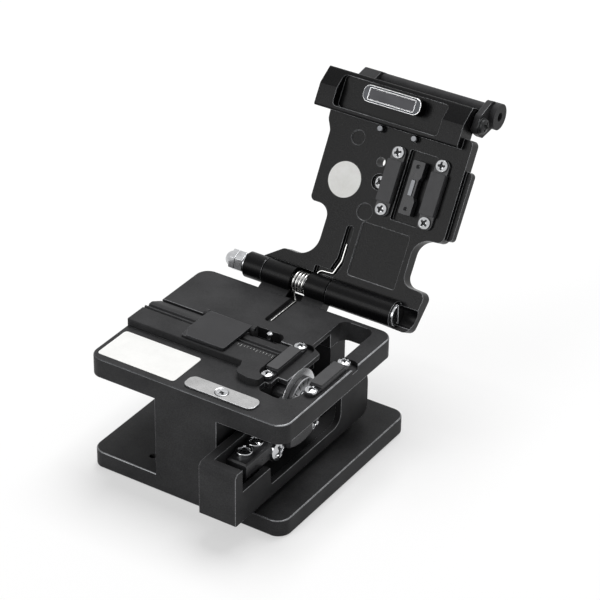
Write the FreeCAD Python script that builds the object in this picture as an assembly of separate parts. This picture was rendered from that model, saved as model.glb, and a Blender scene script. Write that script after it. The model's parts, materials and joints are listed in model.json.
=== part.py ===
import FreeCAD, Part
import math
import os

os.makedirs("parts", exist_ok=True)

# Bench fibre cleaver, millimetres. X runs to the user's right, Y away from the user, Z up.
# The origin is the centre of the base's underside. The lid stands open and the blade carriage
# is pulled towards the user, ready for a fibre.

# ---- driving dimensions: body casting ----
body_width = 63.0
base_depth = 63.5
base_thickness = 5.0
pad_proud = 0.4
pad_thickness = 1.2
pad_inset = 4.0
platform_depth = 55.0
platform_thickness = 5.9
platform_top = 35.9
plan_radius = 4.0
edge_round = 0.5
column_from_left = 22.0
column_rear_wall = 7.5

# ---- driving dimensions: fibre line, blade and clamps ----
fibre_from_front = 25.8
fibre_rise = 2.1
blade_from_right = 9.9
blade_radius = 8.35
blade_thickness = 0.6
blade_behind_fibre = 3.8
clamp_offset = 6.9
clamp_width = 3.8
upper_clamp_width = 4.6
clamp_length = 12.0
clamp_tab = 0.9
clamp_screw_pitch = 16.2
pad_height = 0.6
pad_gap = 0.2

# ---- driving dimensions: carriage and its linear guide ----
carriage_stroke = 12.0
carriage_reach = 10.0
carriage_width = 11.6
carriage_beyond_blade = 1.7
carriage_gap = 1.3
carriage_float = 1.7
carriage_height = 16.4
carriage_wall = 1.9
carriage_rear = 55.5
rail_width = 5.0
rail_height = 4.0
rail_pocket = 6.2
rail_length = 42.0
rail_block_length = 20.0
rail_block_width = 12.0

# ---- driving dimensions: hinge and lid ----
hinge_behind_deck = 5.0
axis_rise = 2.6
barrel_radius = 3.75
shaft_radius = 2.0
stud_radius = 1.5
open_angle = 59.0
lid_thickness = 4.0
lid_gap = 1.7
lid_from_left = 23.3
lid_overhang = 3.4
magnet_length = 18.2
magnet_width = 4.8
strike_thickness = 0.6
magnet_gap = 0.15

# ---- clearances ----
running = 0.05
slip = 0.3
seat = 0.02

# ---- places worked out from the driving dimensions ----
left = -body_width / 2
right = body_width / 2
front = -base_depth / 2
platform_bottom = platform_top - platform_thickness
base_top = pad_proud + base_thickness
rear = front + platform_depth
fibre_y = front + fibre_from_front
fibre_z = platform_top + fibre_rise
blade_x = right - blade_from_right
blade_y = fibre_y - blade_behind_fibre
blade_z = fibre_z - blade_radius
axis_y = rear + hinge_behind_deck
axis_z = platform_top + axis_rise
clamp_xs = (blade_x - clamp_offset, blade_x + clamp_offset)
screw_ys = (fibre_y - clamp_screw_pitch / 2, fibre_y + clamp_screw_pitch / 2)
carriage_bottom = base_top + carriage_float
carriage_top = carriage_bottom + carriage_height
carriage_front = front - carriage_reach
carriage_right = blade_x + carriage_beyond_blade
carriage_left = carriage_right - carriage_width
column_left = left + column_from_left
column_right = carriage_left - carriage_gap
column_rear_right = blade_x - 5.8
strike_top = platform_top + strike_thickness

parts = {}


def vec(x, y, z):
    return FreeCAD.Vector(x, y, z)


AXIS_X = vec(1, 0, 0)
AXIS_Y = vec(0, 1, 0)
AXIS_Z = vec(0, 0, 1)


def box(x0, x1, y0, y1, z0, z1):
    return Part.makeBox(x1 - x0, y1 - y0, z1 - z0, vec(x0, y0, z0))


def rod(start, direction, radius, length):
    return Part.makeCylinder(radius, length, start, direction)


def rounded_wire(corners):
    """Closed wire through (x, y, radius) corners, each corner rounded by its own radius."""
    edges = []
    ends = []
    count = len(corners)
    for i in range(count):
        x, y, radius = corners[i]
        here = vec(x, y, 0)
        before = vec(corners[i - 1][0], corners[i - 1][1], 0)
        after = vec(corners[(i + 1) % count][0], corners[(i + 1) % count][1], 0)
        to_before = (before - here).normalize()
        to_after = (after - here).normalize()
        if radius <= 0:
            ends.append((here, None, here))
            continue
        half = to_before.getAngle(to_after) / 2
        reach = radius / math.tan(half)
        middle = (to_before + to_after).normalize()
        centre = here + middle * (radius / math.sin(half))
        ends.append((here + to_before * reach, centre - middle * radius, here + to_after * reach))
    for i in range(count):
        start, crown, end = ends[i]
        if crown is not None:
            edges.append(Part.Arc(start, crown, end).toShape())
        following = ends[(i + 1) % count][0]
        if end.distanceToPoint(following) > 1e-6:
            edges.append(Part.makeLine(end, following))
    return Part.Wire(Part.__sortEdges__(edges))


def plate(corners, z0, z1):
    """A flat plate whose outline is the rounded wire, from z0 up to z1."""
    solid = Part.Face(rounded_wire(corners)).extrude(vec(0, 0, z1 - z0))
    solid.translate(vec(0, 0, z0))
    return solid


def rectangle(x0, x1, y0, y1, radius):
    return [(x0, y0, radius), (x1, y0, radius), (x1, y1, radius), (x0, y1, radius)]


def bar_along_x(profile, x0, x1):
    """A bar along X whose profile is given as (y, z, radius) corners."""
    solid = Part.Face(rounded_wire(profile)).extrude(vec(0, 0, x1 - x0))
    solid.rotate(vec(0, 0, 0), AXIS_X, 90)
    solid.rotate(vec(0, 0, 0), AXIS_Z, 90)
    solid.translate(vec(x0, 0, 0))
    return solid


def edges_at(solid, height, tolerance=1e-4):
    """The edges that lie wholly in the plane z = height."""
    found = []
    for edge in solid.Edges:
        bounds = edge.BoundBox
        if abs(bounds.ZMin - height) < tolerance and abs(bounds.ZMax - height) < tolerance:
            found.append(edge)
    return found


def cut(solid, *tools):
    for tool in tools:
        solid = solid.cut(tool)
    return solid


def fuse(solid, *others):
    for other in others:
        solid = solid.fuse(other)
    return solid.removeSplitter()


def cross_recess(centre, radius, depth):
    """The cross of a Phillips driver, as a tool to cut from a head that faces +Z."""
    arm = radius * 0.62
    half = radius * 0.13
    tools = []
    for turn in (0, 90):
        bar = Part.makeBox(2 * arm, 2 * half, depth, vec(-arm, -half, -depth))
        bar.rotate(vec(0, 0, 0), AXIS_Z, turn + 35)
        bar.translate(centre)
        tools.append(bar)
    return tools


def pan_screw(head_radius, head_height, shank_radius, shank_length):
    """A pan-head Phillips screw. Its head sits on z = 0 and its shank runs down."""
    head = rod(vec(0, 0, 0), AXIS_Z, head_radius, head_height)
    head = head.makeChamfer(head_height * 0.4, edges_at(head, head_height))
    head = cut(head, *cross_recess(vec(0, 0, head_height), head_radius, head_height * 0.55))
    shank = rod(vec(0, 0, -shank_length), AXIS_Z, shank_radius, shank_length)
    return fuse(head, shank)


def turned(solid, axis, angle, place):
    """A copy of the solid, turned about an axis through its own origin, then moved."""
    copy = solid.copy()
    copy.rotate(vec(0, 0, 0), axis, angle)
    copy.translate(place)
    return copy


def on_lid(solid):
    """Turn a piece from lid coordinates to its place on the open lid.

    In lid coordinates the hinge axis is y = z = 0, y runs away from the hinge
    and z runs out of the lid's underside."""
    copy = solid.copy()
    copy.rotate(vec(0, 0, 0), AXIS_X, open_angle)
    copy.translate(vec(0, axis_y, axis_z))
    return copy


# ======== body: main casting ========
knuckle_a = (left + 18.5, left + 27.6)
knuckle_b = (left + 32.6, left + 39.1)
collar = (left + 12.0, left + 18.2)
long_barrel = (left + 39.4, right - 3.0)
opening_left = column_rear_right + 0.2
opening_right = blade_x + 4.8
opening_rear = platform_depth - 1.8
island_left = blade_x - 6.3
ledge_right = blade_x - 1.6
relief_left = blade_x - 9.5
relief_top = platform_bottom + 4.4
cavity_rear = platform_depth - column_rear_wall
rail_z = carriage_bottom + 7.5
channel_depth = 1.5
channel_rear = 34.6
channel_right = blade_x - 9.9
guide_front = 18.2
guide_rear = 33.9
slot_half = 1.3
slot_depth = 1.4


def make_frame():
    """Base, column and platform in one casting, with the two fixed hinge knuckles."""
    base = plate(rectangle(left, right, front, front + base_depth, plan_radius), pad_proud, base_top)
    base = base.makeFillet(edge_round, edges_at(base, base_top))
    pad_seat = pad_inset - slip
    base = cut(base, plate(rectangle(left + pad_seat, right - pad_seat, front + pad_seat,
                                     front + base_depth - pad_seat, plan_radius), 0, pad_thickness + seat))
    base = cut(base, rod(vec(left + 16.4, front + 6.4, base_top - 2.5), AXIS_Z, 1.0, 3.0))

    column = box(column_left, column_rear_right, front, rear, base_top - 1, platform_bottom + 1)
    cavity = box(column_right, column_rear_right + 1, front - 1, front + cavity_rear,
                 base_top, platform_bottom + 2)
    pocket_left = column_right - rail_pocket
    pocket = box(pocket_left, column_right + 1, rail_start - 0.5, rail_start + rail_length + 0.5,
                 rail_z - 6.6, rail_z + 6.6)
    column = cut(column, cavity, pocket)

    deck = plate(rectangle(left, right, front, rear, plan_radius), platform_bottom, platform_top)
    deck = deck.makeFillet(edge_round, edges_at(deck, platform_top))

    web_profile = [
        (rear - 1, platform_bottom + edge_round, 0),
        (rear + 0.6, platform_bottom + edge_round, 0),
        (axis_y, axis_z - barrel_radius, 0),
        (axis_y, axis_z, 0),
        (rear - 1, platform_top - edge_round, 0),
    ]
    for first, last in (knuckle_a, knuckle_b):
        knuckle = rod(vec(first, axis_y, axis_z), AXIS_X, barrel_radius, last - first)
        deck = deck.fuse(bar_along_x(web_profile, first, last)).fuse(knuckle)

    # a low shelf closes the gap between the knuckles, under the spring's coil
    coil_shelf = bar_along_x([
        (rear - 1, platform_bottom + edge_round, 0),
        (rear + 0.6, platform_bottom + edge_round, 0),
        (axis_y, axis_z - barrel_radius - 1.4, 0),
        (axis_y, axis_z - barrel_radius - 0.4, 0),
        (rear - 1, axis_z - barrel_radius - 0.4, 0),
    ], knuckle_a[1] - 1, knuckle_b[0] + 1)
    frame = fuse(base, column, deck, coil_shelf)
    return cut(frame, *frame_openings())


def frame_openings():
    """Tools for every opening, channel, slot and hole in the main casting."""
    tools = []
    # the blade opening, round the front of the wheel and square at the back
    outline = [
        (opening_left, front + opening_rear, 2.5),
        (opening_left, front + 37.6, 0.5),
        (ledge_right, front + 35.2, 0.5),
        (ledge_right, front + 19.4, 0),
        (island_left + 1.7, front + 19.4, 0),
        (island_left + 1.7, front + 15.6, 0.4),
        (island_left, front + 15.6, 0),
        (island_left, front + 11.6, 2.2),
        (opening_right, front + 10.4, 5.0),
        (opening_right, front + opening_rear, 2.5),
    ]
    tools.append(plate(outline, platform_bottom - 1, platform_top + 1))
    # the casting is hollow under the left clamp, where the blade arm runs
    tools.append(box(relief_left, ledge_right + 0.5, front + 12.4, front + 47.0,
                     platform_bottom - 2, relief_top))
    # the channel for the fibre guide and the pocket behind it
    tools.append(box(left - 1, channel_right, front + guide_front - 0.2, front + channel_rear,
                     platform_top - channel_depth, platform_top + 1))
    tools.append(plate([(left + 29.8, front + 32.6, 0.3), (left + 39.4, front + 32.6, 1.5),
                        (left + 39.4, front + 37.6, 2.2), (left + 29.8, front + 37.6, 0.3)],
                       platform_top - 3.4, platform_top + 1))
    # the slot that takes the lower leg of the lid spring
    slot_x = spring_leg_x
    tools.append(plate([(slot_x - slot_half, front + 41.2, 1.2), (slot_x + slot_half, front + 41.2, 1.2),
                        (slot_x + slot_half, axis_y, 0), (slot_x - slot_half, axis_y, 0)],
                       platform_top - slot_depth, platform_top + 6))
    # tapped holes for the clamp screws, and a hollow beside each rear one
    for x in clamp_xs:
        for y in screw_ys:
            tools.append(rod(vec(x, y, platform_top - 3.0), AXIS_Z, 0.8, 4.0))
        tools.append(rod(vec(x + 0.6, screw_ys[1] + 0.9, platform_top - 1.4), AXIS_Z, 2.7, 3.0))
    # seats for the strike plate and its screw
    tools.append(plate(rectangle(*strike_outline, 2.0), platform_top - 0.02, platform_top + 1))
    tools.append(rod(vec(strike_x, strike_y, platform_top - 3.4), AXIS_Z, 0.95, 5.0))
    # bore for the hinge shaft, through both knuckles
    tools.append(rod(vec(left, axis_y, axis_z), AXIS_X, shaft_radius + running, body_width))
    # tapped holes for the linear guide's screws
    for y in rail_screw_ys:
        tools.append(rod(vec(column_right - rail_pocket - 4, y, rail_z), AXIS_X, 0.8, 5.0))
    # seat for the index post
    tools.append(rod(vec(post_x, post_y, platform_top - 5.0), AXIS_Z, 0.9, 3.0))
    return tools


strike_x = blade_x - 12.4
strike_y = front + 4.5
strike_outline = (strike_x - 11.1, strike_x + 11.1, strike_y - 2.6, strike_y + 2.6)
spring_leg_x = left + 30.6
rail_start = front + 5.0
rail_screw_ys = (rail_start + 6, rail_start + rail_length / 2, rail_start + rail_length - 6)
post_x = left + 35.6
post_y = front + 35.0

parts["main_frame"] = [make_frame()]
parts["base_pad"] = [plate(rectangle(left + pad_inset, right - pad_inset, front + pad_inset,
                                     front + base_depth - pad_inset, plan_radius), 0, pad_thickness)]
parts["front_label"] = [plate(rectangle(left + 1.6, left + 26.8, front + 2.2, front + 15.4, 1.0),
                              platform_top, platform_top + 0.12)]

# ======== body: strike plate for the lid magnet ========
strike = plate(rectangle(*strike_outline, 2.0), platform_top, strike_top)
strike = cut(strike, rod(vec(strike_x, strike_y, platform_top - 1), AXIS_Z, 1.2, 3),
             Part.makeCone(1.2, 2.1, strike_thickness, vec(strike_x, strike_y, platform_top)))
parts["strike_plate"] = [strike]
countersunk = Part.makeCone(1.15, 2.05, strike_thickness, vec(0, 0, -strike_thickness))
countersunk = countersunk.fuse(rod(vec(0, 0, -3.4), AXIS_Z, 0.9, 3.0))
countersunk = cut(countersunk, *cross_recess(vec(0, 0, 0), 1.9, 0.4))
parts["strike_screw"] = [turned(countersunk, AXIS_Z, 0, vec(strike_x, strike_y, strike_top))]

# ======== body: fibre guide and its cover leaf ========
guide_left = left + 0.1
guide_right = blade_x - 8.9
groove_depth = 0.8


def make_guide():
    """Raised guide for the fibre: V groove, second groove, scale and curved nose."""
    bottom = platform_top - channel_depth
    profile = [
        (front + guide_front, bottom, 0),
        (front + guide_rear, bottom, 0),
        (front + guide_rear, platform_top - 0.3, 0),
        (front + guide_rear - 4.2, fibre_z - 0.4, 0),
        (front + guide_rear - 5.6, fibre_z - 0.4, 0),
        (front + guide_rear - 6.0, fibre_z - 1.0, 0),
        (front + guide_rear - 7.0, fibre_z - 1.0, 0),
        (front + guide_rear - 7.3, fibre_z, 0),
        (front + guide_front, fibre_z, 0.3),
    ]
    guide = bar_along_x(profile, guide_left, guide_right)
    nose = [
        (blade_x - 16.1, front + guide_front + 2, 0),
        (blade_x - 14.5, front + guide_front - 1.8, 1.2),
        (blade_x - 14.1, front + 13.0, 2.5),
        (blade_x - 9.6, front + 12.2, 3.0),
        (blade_x - 6.5, front + 12.7, 1.0),
        (blade_x - 6.5, front + 16.2, 0.6),
        (guide_right, front + 17.0, 0),
        (guide_right, front + guide_front + 2, 0),
    ]
    guide = guide.fuse(plate(nose, platform_top, fibre_z))
    vee = bar_along_x([(fibre_y - 0.45, fibre_z + 0.01, 0), (fibre_y + 0.45, fibre_z + 0.01, 0),
                       (fibre_y, fibre_z - groove_depth, 0)], guide_left - 1, guide_right + 1)
    tools = [vee]
    tools.append(box(left + 29.8, guide_right - 4.8, front + 31.8, front + 40, bottom - 1, fibre_z + 1))
    tools.append(box(channel_right - seat, guide_right + 3, front + guide_front - 1, front + 40,
                     bottom - 1, platform_top))
    # scale beside the groove, one line per millimetre
    for i in range(12):
        x = guide_right - 0.9 - i
        length = 1.4 if i % 5 == 0 else 0.9
        tools.append(box(x - 0.09, x + 0.09, fibre_y - 0.7 - length, fibre_y - 0.7,
                         fibre_z - 0.12, fibre_z + 1))
    # clear of the left clamp, its end tab and its screw
    tools.append(box(clamp_xs[0] - clamp_width / 2 - slip, guide_right + 3, screw_ys[0], front + 40,
                     platform_top, fibre_z + 1))
    tools.append(rod(vec(clamp_xs[0], screw_ys[0], platform_top), AXIS_Z, 2.1, 4))
    return cut(guide, *tools).removeSplitter()


parts["fibre_guide"] = [make_guide()]

leaf_left = left + 17.4
leaf_right = left + 31.4
leaf_front = front + 18.9
leaf_hinge_y = front + 32.4
leaf_barrel = 0.8
leaf_pin = 0.35
leaf_top = fibre_z + 1.1
leaf_hinge_z = leaf_top - leaf_barrel
leaf = plate([(leaf_left, leaf_front, 0.6), (leaf_right, leaf_front, 0.6),
              (leaf_right, leaf_hinge_y, 0), (leaf_left, leaf_hinge_y, 0)],
             fibre_z + 0.1, leaf_top)
leaf = leaf.fuse(rod(vec(leaf_left, leaf_hinge_y, leaf_hinge_z), AXIS_X, leaf_barrel, leaf_right - leaf_left))
leaf = cut(leaf, rod(vec(leaf_left - 1, leaf_hinge_y, leaf_hinge_z), AXIS_X, leaf_pin + running, 16),
           plate([(leaf_left - 1, leaf_front - 1, 0), (leaf_left + 2.4, leaf_front - 1, 0),
                  (leaf_left - 1, leaf_front + 5, 0)], fibre_z + 0.7, fibre_z + 2))
parts["guide_cover"] = [leaf.removeSplitter()]

ears = []
for ear_left in (leaf_left - 1.1 - slip / 2, leaf_right + slip / 2):
    ear = bar_along_x([(leaf_hinge_y - 1.2, platform_top + 0.4, 0), (leaf_hinge_y + 1.2, platform_top - 0.2, 0),
                       (leaf_hinge_y + 1.2, leaf_top, 0.9), (leaf_hinge_y - 1.2, leaf_top, 0.9)],
                      ear_left, ear_left + 1.1)
    ears.append(ear)
guide_with_ears = parts["fibre_guide"][0]
for ear in ears:
    guide_with_ears = guide_with_ears.fuse(ear)
guide_with_ears = cut(guide_with_ears, rod(vec(leaf_left - 2, leaf_hinge_y, leaf_hinge_z), AXIS_X, leaf_pin,
                                           leaf_right - leaf_left + 4),
                      rod(vec(leaf_left - slip / 2, leaf_hinge_y, leaf_hinge_z), AXIS_X, leaf_barrel + slip,
                          leaf_right - leaf_left + slip))
parts["fibre_guide"] = [guide_with_ears.removeSplitter()]
parts["guide_cover_pin"] = [rod(vec(leaf_left - 1.2, leaf_hinge_y, leaf_hinge_z), AXIS_X, leaf_pin,
                                leaf_right - leaf_left + 2.4)]

post = rod(vec(post_x, post_y, platform_top - 5.0 + seat), AXIS_Z, 0.85, 6.2)
post = post.makeChamfer(0.25, edges_at(post, platform_top + 1.2 + seat))
parts["index_post"] = [post]

# ======== body: lower clamps ========


def clamp_body(height, width):
    """A clamp bar along Y on z = 0, with a thin screw tab at each end."""
    half = width / 2
    reach = clamp_screw_pitch / 2 + 1.7
    bar = box(-half, half, -clamp_length / 2, clamp_length / 2, 0, height)
    tab = plate(rectangle(-half + 0.15, half - 0.15, -reach, reach, 1.5), 0, clamp_tab)
    solid = bar.fuse(tab).removeSplitter()
    for y in (-clamp_screw_pitch / 2, clamp_screw_pitch / 2):
        solid = solid.cut(rod(vec(0, y, -1), AXIS_Z, 0.85, 4))
    return solid


def clamp_pad(width):
    """The rubber face of a clamp bar."""
    half = width / 2 - 0.1
    return plate(rectangle(-half, half, -clamp_length / 2 + 0.1, clamp_length / 2 - 0.1, 0.3), 0, pad_height)


lower_bar = clamp_body(fibre_rise - pad_height, clamp_width)
lower_pad = clamp_pad(clamp_width)
small_screw = pan_screw(1.75, 0.95, 0.8, 3.0)
names = ("left", "right")
pads = []
screws = []
for name, x in zip(names, clamp_xs):
    parts["lower_clamp_" + name] = [turned(lower_bar, AXIS_Z, 0, vec(x, fibre_y, platform_top))]
    pads.append(turned(lower_pad, AXIS_Z, 0, vec(x, fibre_y, fibre_z - pad_height)))
    for y in screw_ys:
        screws.append(turned(small_screw, AXIS_Z, 0, vec(x, y, platform_top + clamp_tab)))
parts["lower_clamp_pads"] = pads
parts["lower_clamp_screws"] = screws

# ======== body: hinge shaft, nuts and spring ========
shaft_left = left + 11.9
shaft = rod(vec(shaft_left, axis_y, axis_z), AXIS_X, shaft_radius, long_barrel[1] - shaft_left - 0.6)
head = rod(vec(long_barrel[1] - 0.6, axis_y, axis_z), AXIS_X, 3.1, 1.4)
head = cut(head, box(long_barrel[1] + 0.2, long_barrel[1] + 2, axis_y - 0.35, axis_y + 0.35, axis_z - 4, axis_z + 4))
stud_left = left + 7.2
stud = rod(vec(stud_left, axis_y, axis_z), AXIS_X, stud_radius, shaft_left - stud_left)
parts["hinge_shaft"] = [fuse(shaft, head, stud)]


def hexagon(across_flats, x0, x1):
    """A hexagonal prism round the hinge axis."""
    radius = across_flats / math.sqrt(3)
    corners = []
    for i in range(6):
        turn = math.radians(60 * i + 20)
        corners.append((axis_y + radius * math.cos(turn), axis_z + radius * math.sin(turn), 0))
    return bar_along_x(corners, x0, x1)


nut_bore = rod(vec(left, axis_y, axis_z), AXIS_X, stud_radius, 14)
washer_left = left + 11.1
lock_nut = hexagon(5.5, left + 8.7, washer_left)
trim = Part.makeSphere(3.3, vec(left + 9.9, axis_y, axis_z))
parts["hinge_lock_nut"] = [cut(lock_nut.common(trim), nut_bore)]
parts["hinge_washer"] = [cut(rod(vec(washer_left, axis_y, axis_z), AXIS_X, 2.6, 0.7), nut_bore)]
cap_hex = hexagon(5.5, left + 6.7, left + 8.6).common(Part.makeSphere(3.2, vec(left + 7.6, axis_y, axis_z)))
dome = Part.makeSphere(2.35, vec(left + 6.75, axis_y, axis_z)).common(
    box(left + 3, left + 7.2, axis_y - 4, axis_y + 4, axis_z - 4, axis_z + 4))
parts["acorn_nut"] = [cut(fuse(cap_hex, dome), rod(vec(stud_left - 0.2, axis_y, axis_z), AXIS_X, stud_radius, 4))]

# ---- torsion spring: a coil round the shaft, a leg in the deck slot and a leg in the lid slot ----
wire_radius = 0.33
coil_radius = 2.75
coil_turns = 4 + open_angle / 360
coil_pitch = 1.0
coil_left = knuckle_a[1] + wire_radius + 0.1
coil_right = coil_left + coil_pitch * coil_turns


def swept(points, radius):
    """Round wire along straight runs, with a ball at each bend."""
    solid = None
    for start, end in zip(points, points[1:]):
        run = rod(start, end - start, radius, (end - start).Length)
        solid = run if solid is None else solid.fuse(run)
    for bend in points[1:-1]:
        solid = solid.fuse(Part.makeSphere(radius, bend))
    return solid


def helical_wire(radius, pitch, turns, wire):
    """A six-sided wire swept up a helix round Z; six sides keep the mesh light."""
    helix = Part.makeHelix(pitch, pitch * turns, radius)
    corners = []
    for i in range(7):
        turn = math.radians(60 * i)
        corners.append(vec(radius + wire * math.cos(turn), 0, wire * math.sin(turn)))
    section = Part.makePolygon(corners)
    return Part.Wire(helix.Edges).makePipeShell([section], True, True)


def make_coil():
    """The spring's coil, as a wire swept along a helix round the hinge axis."""
    return turned(helical_wire(coil_radius, coil_pitch, coil_turns, wire_radius), AXIS_Y, 90,
                  vec(coil_left, axis_y, axis_z))


lower_leg = swept([vec(coil_left, axis_y, axis_z - coil_radius),
                   vec(coil_left, axis_y - 1.6, axis_z - coil_radius),
                   vec(spring_leg_x, rear + 0.5, platform_top - slot_depth + wire_radius + 0.1),
                   vec(spring_leg_x, front + 42.6, platform_top - slot_depth + wire_radius + 0.1)], wire_radius)
parts["lid_spring"] = [fuse(make_coil(), lower_leg)]

# ======== body: linear guide rail in the column's pocket ========
rail_face = column_right - rail_pocket
rail = box(rail_face, rail_face + rail_height, rail_start, rail_start + rail_length,
           rail_z - rail_width / 2, rail_z + rail_width / 2)
for side in (-1, 1):
    groove_z = rail_z + side * rail_width / 2
    rail = rail.cut(rod(vec(rail_face + rail_height * 0.62, rail_start - 1, groove_z), AXIS_Y, 0.55, rail_length + 2))
for y in rail_screw_ys:
    rail = rail.cut(rod(vec(rail_face - 1, y, rail_z), AXIS_X, 0.85, rail_height + 2))
    rail = rail.cut(rod(vec(rail_face + rail_height - 1.5, y, rail_z), AXIS_X, 1.5, 3))
parts["linear_rail"] = [rail]


def cap_screw(head_radius, head_height, shank_radius, shank_length):
    """A socket-head screw whose head top is z = 0, with its shank running down."""
    head = rod(vec(0, 0, -head_height), AXIS_Z, head_radius, head_height)
    socket = []
    for i in range(6):
        turn = math.radians(60 * i)
        socket.append((0.55 * head_radius * math.cos(turn), 0.55 * head_radius * math.sin(turn), 0))
    head = head.cut(plate(socket, -head_height * 0.5, 1))
    return fuse(head, rod(vec(0, 0, -head_height - shank_length), AXIS_Z, shank_radius, shank_length))


rail_screw = cap_screw(1.45, 1.3, 0.78, 5.5)
parts["rail_screws"] = [turned(rail_screw, AXIS_Y, 90, vec(rail_face + rail_height - 0.15, y, rail_z))
                        for y in rail_screw_ys]

# ======== carriage ========
web_right = carriage_left + 2.7
web_rear = front + cavity_rear - carriage_stroke - 0.6
wall_left = carriage_right - carriage_wall
front_wall = 3.3
arm_bottom = carriage_bottom + 9.5
arm_top = arm_bottom + 4.4
arm_right = blade_x - 0.7
arm_front = front - 1.4
arm_rear = front + 34.0
floor_top = carriage_bottom + 3.5
block_start = front + 6.5
side_screws = ((front + 12.6, arm_bottom + 1.4), (front + 30.0, arm_bottom + 1.0))
top_screws = (front + 3.2, front + 8.4)
top_screw_x = blade_x - 4.5
jack_screws = (front + 0.4, front + 5.4)
jack_x = blade_x - 1.8
block_screws = (block_start + 4.0, block_start + rail_block_length - 4.0)


def make_carriage():
    """Front block, web, floor and windowed side wall in one casting."""
    inner = carriage_front + front_wall
    nose = bar_along_x([(carriage_front, carriage_bottom, 0.5), (inner + 0.1, carriage_bottom, 0),
                        (inner + 0.1, carriage_top, 0), (carriage_front + 1.0, carriage_top, 0.4),
                        (carriage_front, carriage_top - 1.0, 0.4)],
                       carriage_left, carriage_right)
    web = box(carriage_left, web_right, inner - 0.5, web_rear, carriage_bottom, carriage_top)
    floor = box(carriage_left, wall_left + 0.2, inner - 0.5, web_rear, carriage_bottom, floor_top)
    tail = box(column_rear_right + 0.9, wall_left + 0.2, web_rear - 0.5, front + carriage_rear - 4,
               carriage_bottom, floor_top)
    wall = bar_along_x([
        (inner - 0.5, carriage_bottom, 0),
        (front + carriage_rear, carriage_bottom, 3.0),
        (front + carriage_rear, carriage_top, 6.5),
        (front + 41.5, carriage_top, 0.8),
        (front + 41.5, floor_top + 0.4, 3.5),
        (front + 7.0, floor_top + 0.4, 0.8),
        (front + 6.5, arm_bottom, 0.3),
        (inner, arm_bottom, 0.3),
        (inner, carriage_top, 0),
        (inner - 0.5, carriage_top, 0),
    ], wall_left, carriage_right)
    carriage = fuse(nose, web, floor, tail, wall)
    tools = [rod(vec(top_screw_x, y, carriage_bottom + 1.2), AXIS_Z, 1.2, 4) for y in top_screws]
    tools += [rod(vec(carriage_left - 1, y, z), AXIS_X, 1.5, 6) for y, z in side_screws]
    for y in block_screws:
        tools.append(rod(vec(carriage_left - 1, y, rail_z), AXIS_X, 0.85, 6))
        tools.append(rod(vec(web_right - 1.4, y, rail_z), AXIS_X, 1.55, 3))
    return cut(carriage, *tools)


parts["carriage"] = [make_carriage()]

block = box(rail_face + 1.4, carriage_left, block_start, block_start + rail_block_length,
            rail_z - rail_block_width / 2, rail_z + rail_block_width / 2)
block = block.cut(box(rail_face, rail_face + rail_height + 0.12, block_start - 1,
                      block_start + rail_block_length + 1,
                      rail_z - rail_width / 2 - running, rail_z + rail_width / 2 + running))
for y in block_screws:
    block = block.cut(rod(vec(rail_face + 4.6, y, rail_z), AXIS_X, 0.78, 4))
parts["rail_block"] = [block]
block_screw = cap_screw(1.5, 1.3, 0.75, 3.9)
parts["rail_block_screws"] = [turned(block_screw, AXIS_Y, 90, vec(web_right - 0.05, y, rail_z))
                              for y in block_screws]

# ---- blade arm: height block in front, bar, and the upright that carries the wheel ----
upright_left = blade_x - 5.6
upright_right = blade_x - 1.0
peg_left = upright_left - 0.6
spring_y = front + 14.6
spring_z = blade_z + 0.7
guard_radius = 13.8
guard_bore = 9.2
guard_bevel = 0.6
guard_right = blade_x + 1.9


def make_guard():
    """The curved guard under the wheel, bevelled along its outer rim."""
    section = [
        vec(arm_right - slip, 0, guard_bore),
        vec(guard_right, 0, guard_bore),
        vec(guard_right, 0, guard_radius - guard_bevel),
        vec(guard_right - guard_bevel, 0, guard_radius),
        vec(arm_right - slip, 0, guard_radius),
    ]
    ring = Part.Face(Part.makePolygon(section + section[:1])).revolve(vec(0, 0, 0), AXIS_X, 360)
    ring.translate(vec(0, blade_y, blade_z))
    return ring.common(box(arm_right - 1, guard_right + 1, blade_y - 6.1, blade_y + 4.7,
                           blade_z - guard_radius - 1, blade_z - 7))


def make_arm():
    """The height block, the bar behind it and the upright with its spring lug."""
    bar = box(web_right, arm_right, arm_front, arm_rear, arm_bottom, arm_top)
    bar = bar.makeChamfer(0.5, [edge for edge in edges_at(bar, arm_top)])
    bosses = [rod(vec(web_right, y, z), AXIS_X, 3.2, arm_right - web_right) for y, z in side_screws]
    upright = bar_along_x([(blade_y - 4.6, arm_top - 1.0, 0), (blade_y + 5.6, arm_top - 1.0, 0),
                           (blade_y + 4.0, blade_z + 3.9, 3.2), (blade_y - 4.6, blade_z + 3.9, 2.6)],
                          upright_left, upright_right)
    lug = bar_along_x([(spring_y - 1.6, spring_z - 1.6, 1.4), (blade_y - 4.0, spring_z - 1.6, 0),
                       (blade_y - 4.0, spring_z + 1.6, 0), (spring_y - 1.6, spring_z + 1.6, 1.4)],
                      upright_right - 1.3, upright_right)
    peg = rod(vec(peg_left, spring_y, spring_z), AXIS_X, 1.1, upright_right - peg_left)
    arm = fuse(bar, *bosses, upright, lug, peg, make_guard())
    tools = [rod(vec(top_screw_x, y, arm_bottom - 3), AXIS_Z, 1.2, 9) for y in top_screws]
    tools += [rod(vec(jack_x, y, arm_bottom - 3), AXIS_Z, 0.7, 6.2) for y in jack_screws]
    tools += [rod(vec(web_right - 1, y, z), AXIS_X, 1.5, 9) for y, z in side_screws]
    tools.append(rod(vec(upright_right - 4.0, blade_y, blade_z), AXIS_X, 1.5, 6))
    return cut(arm, *tools)


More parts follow.
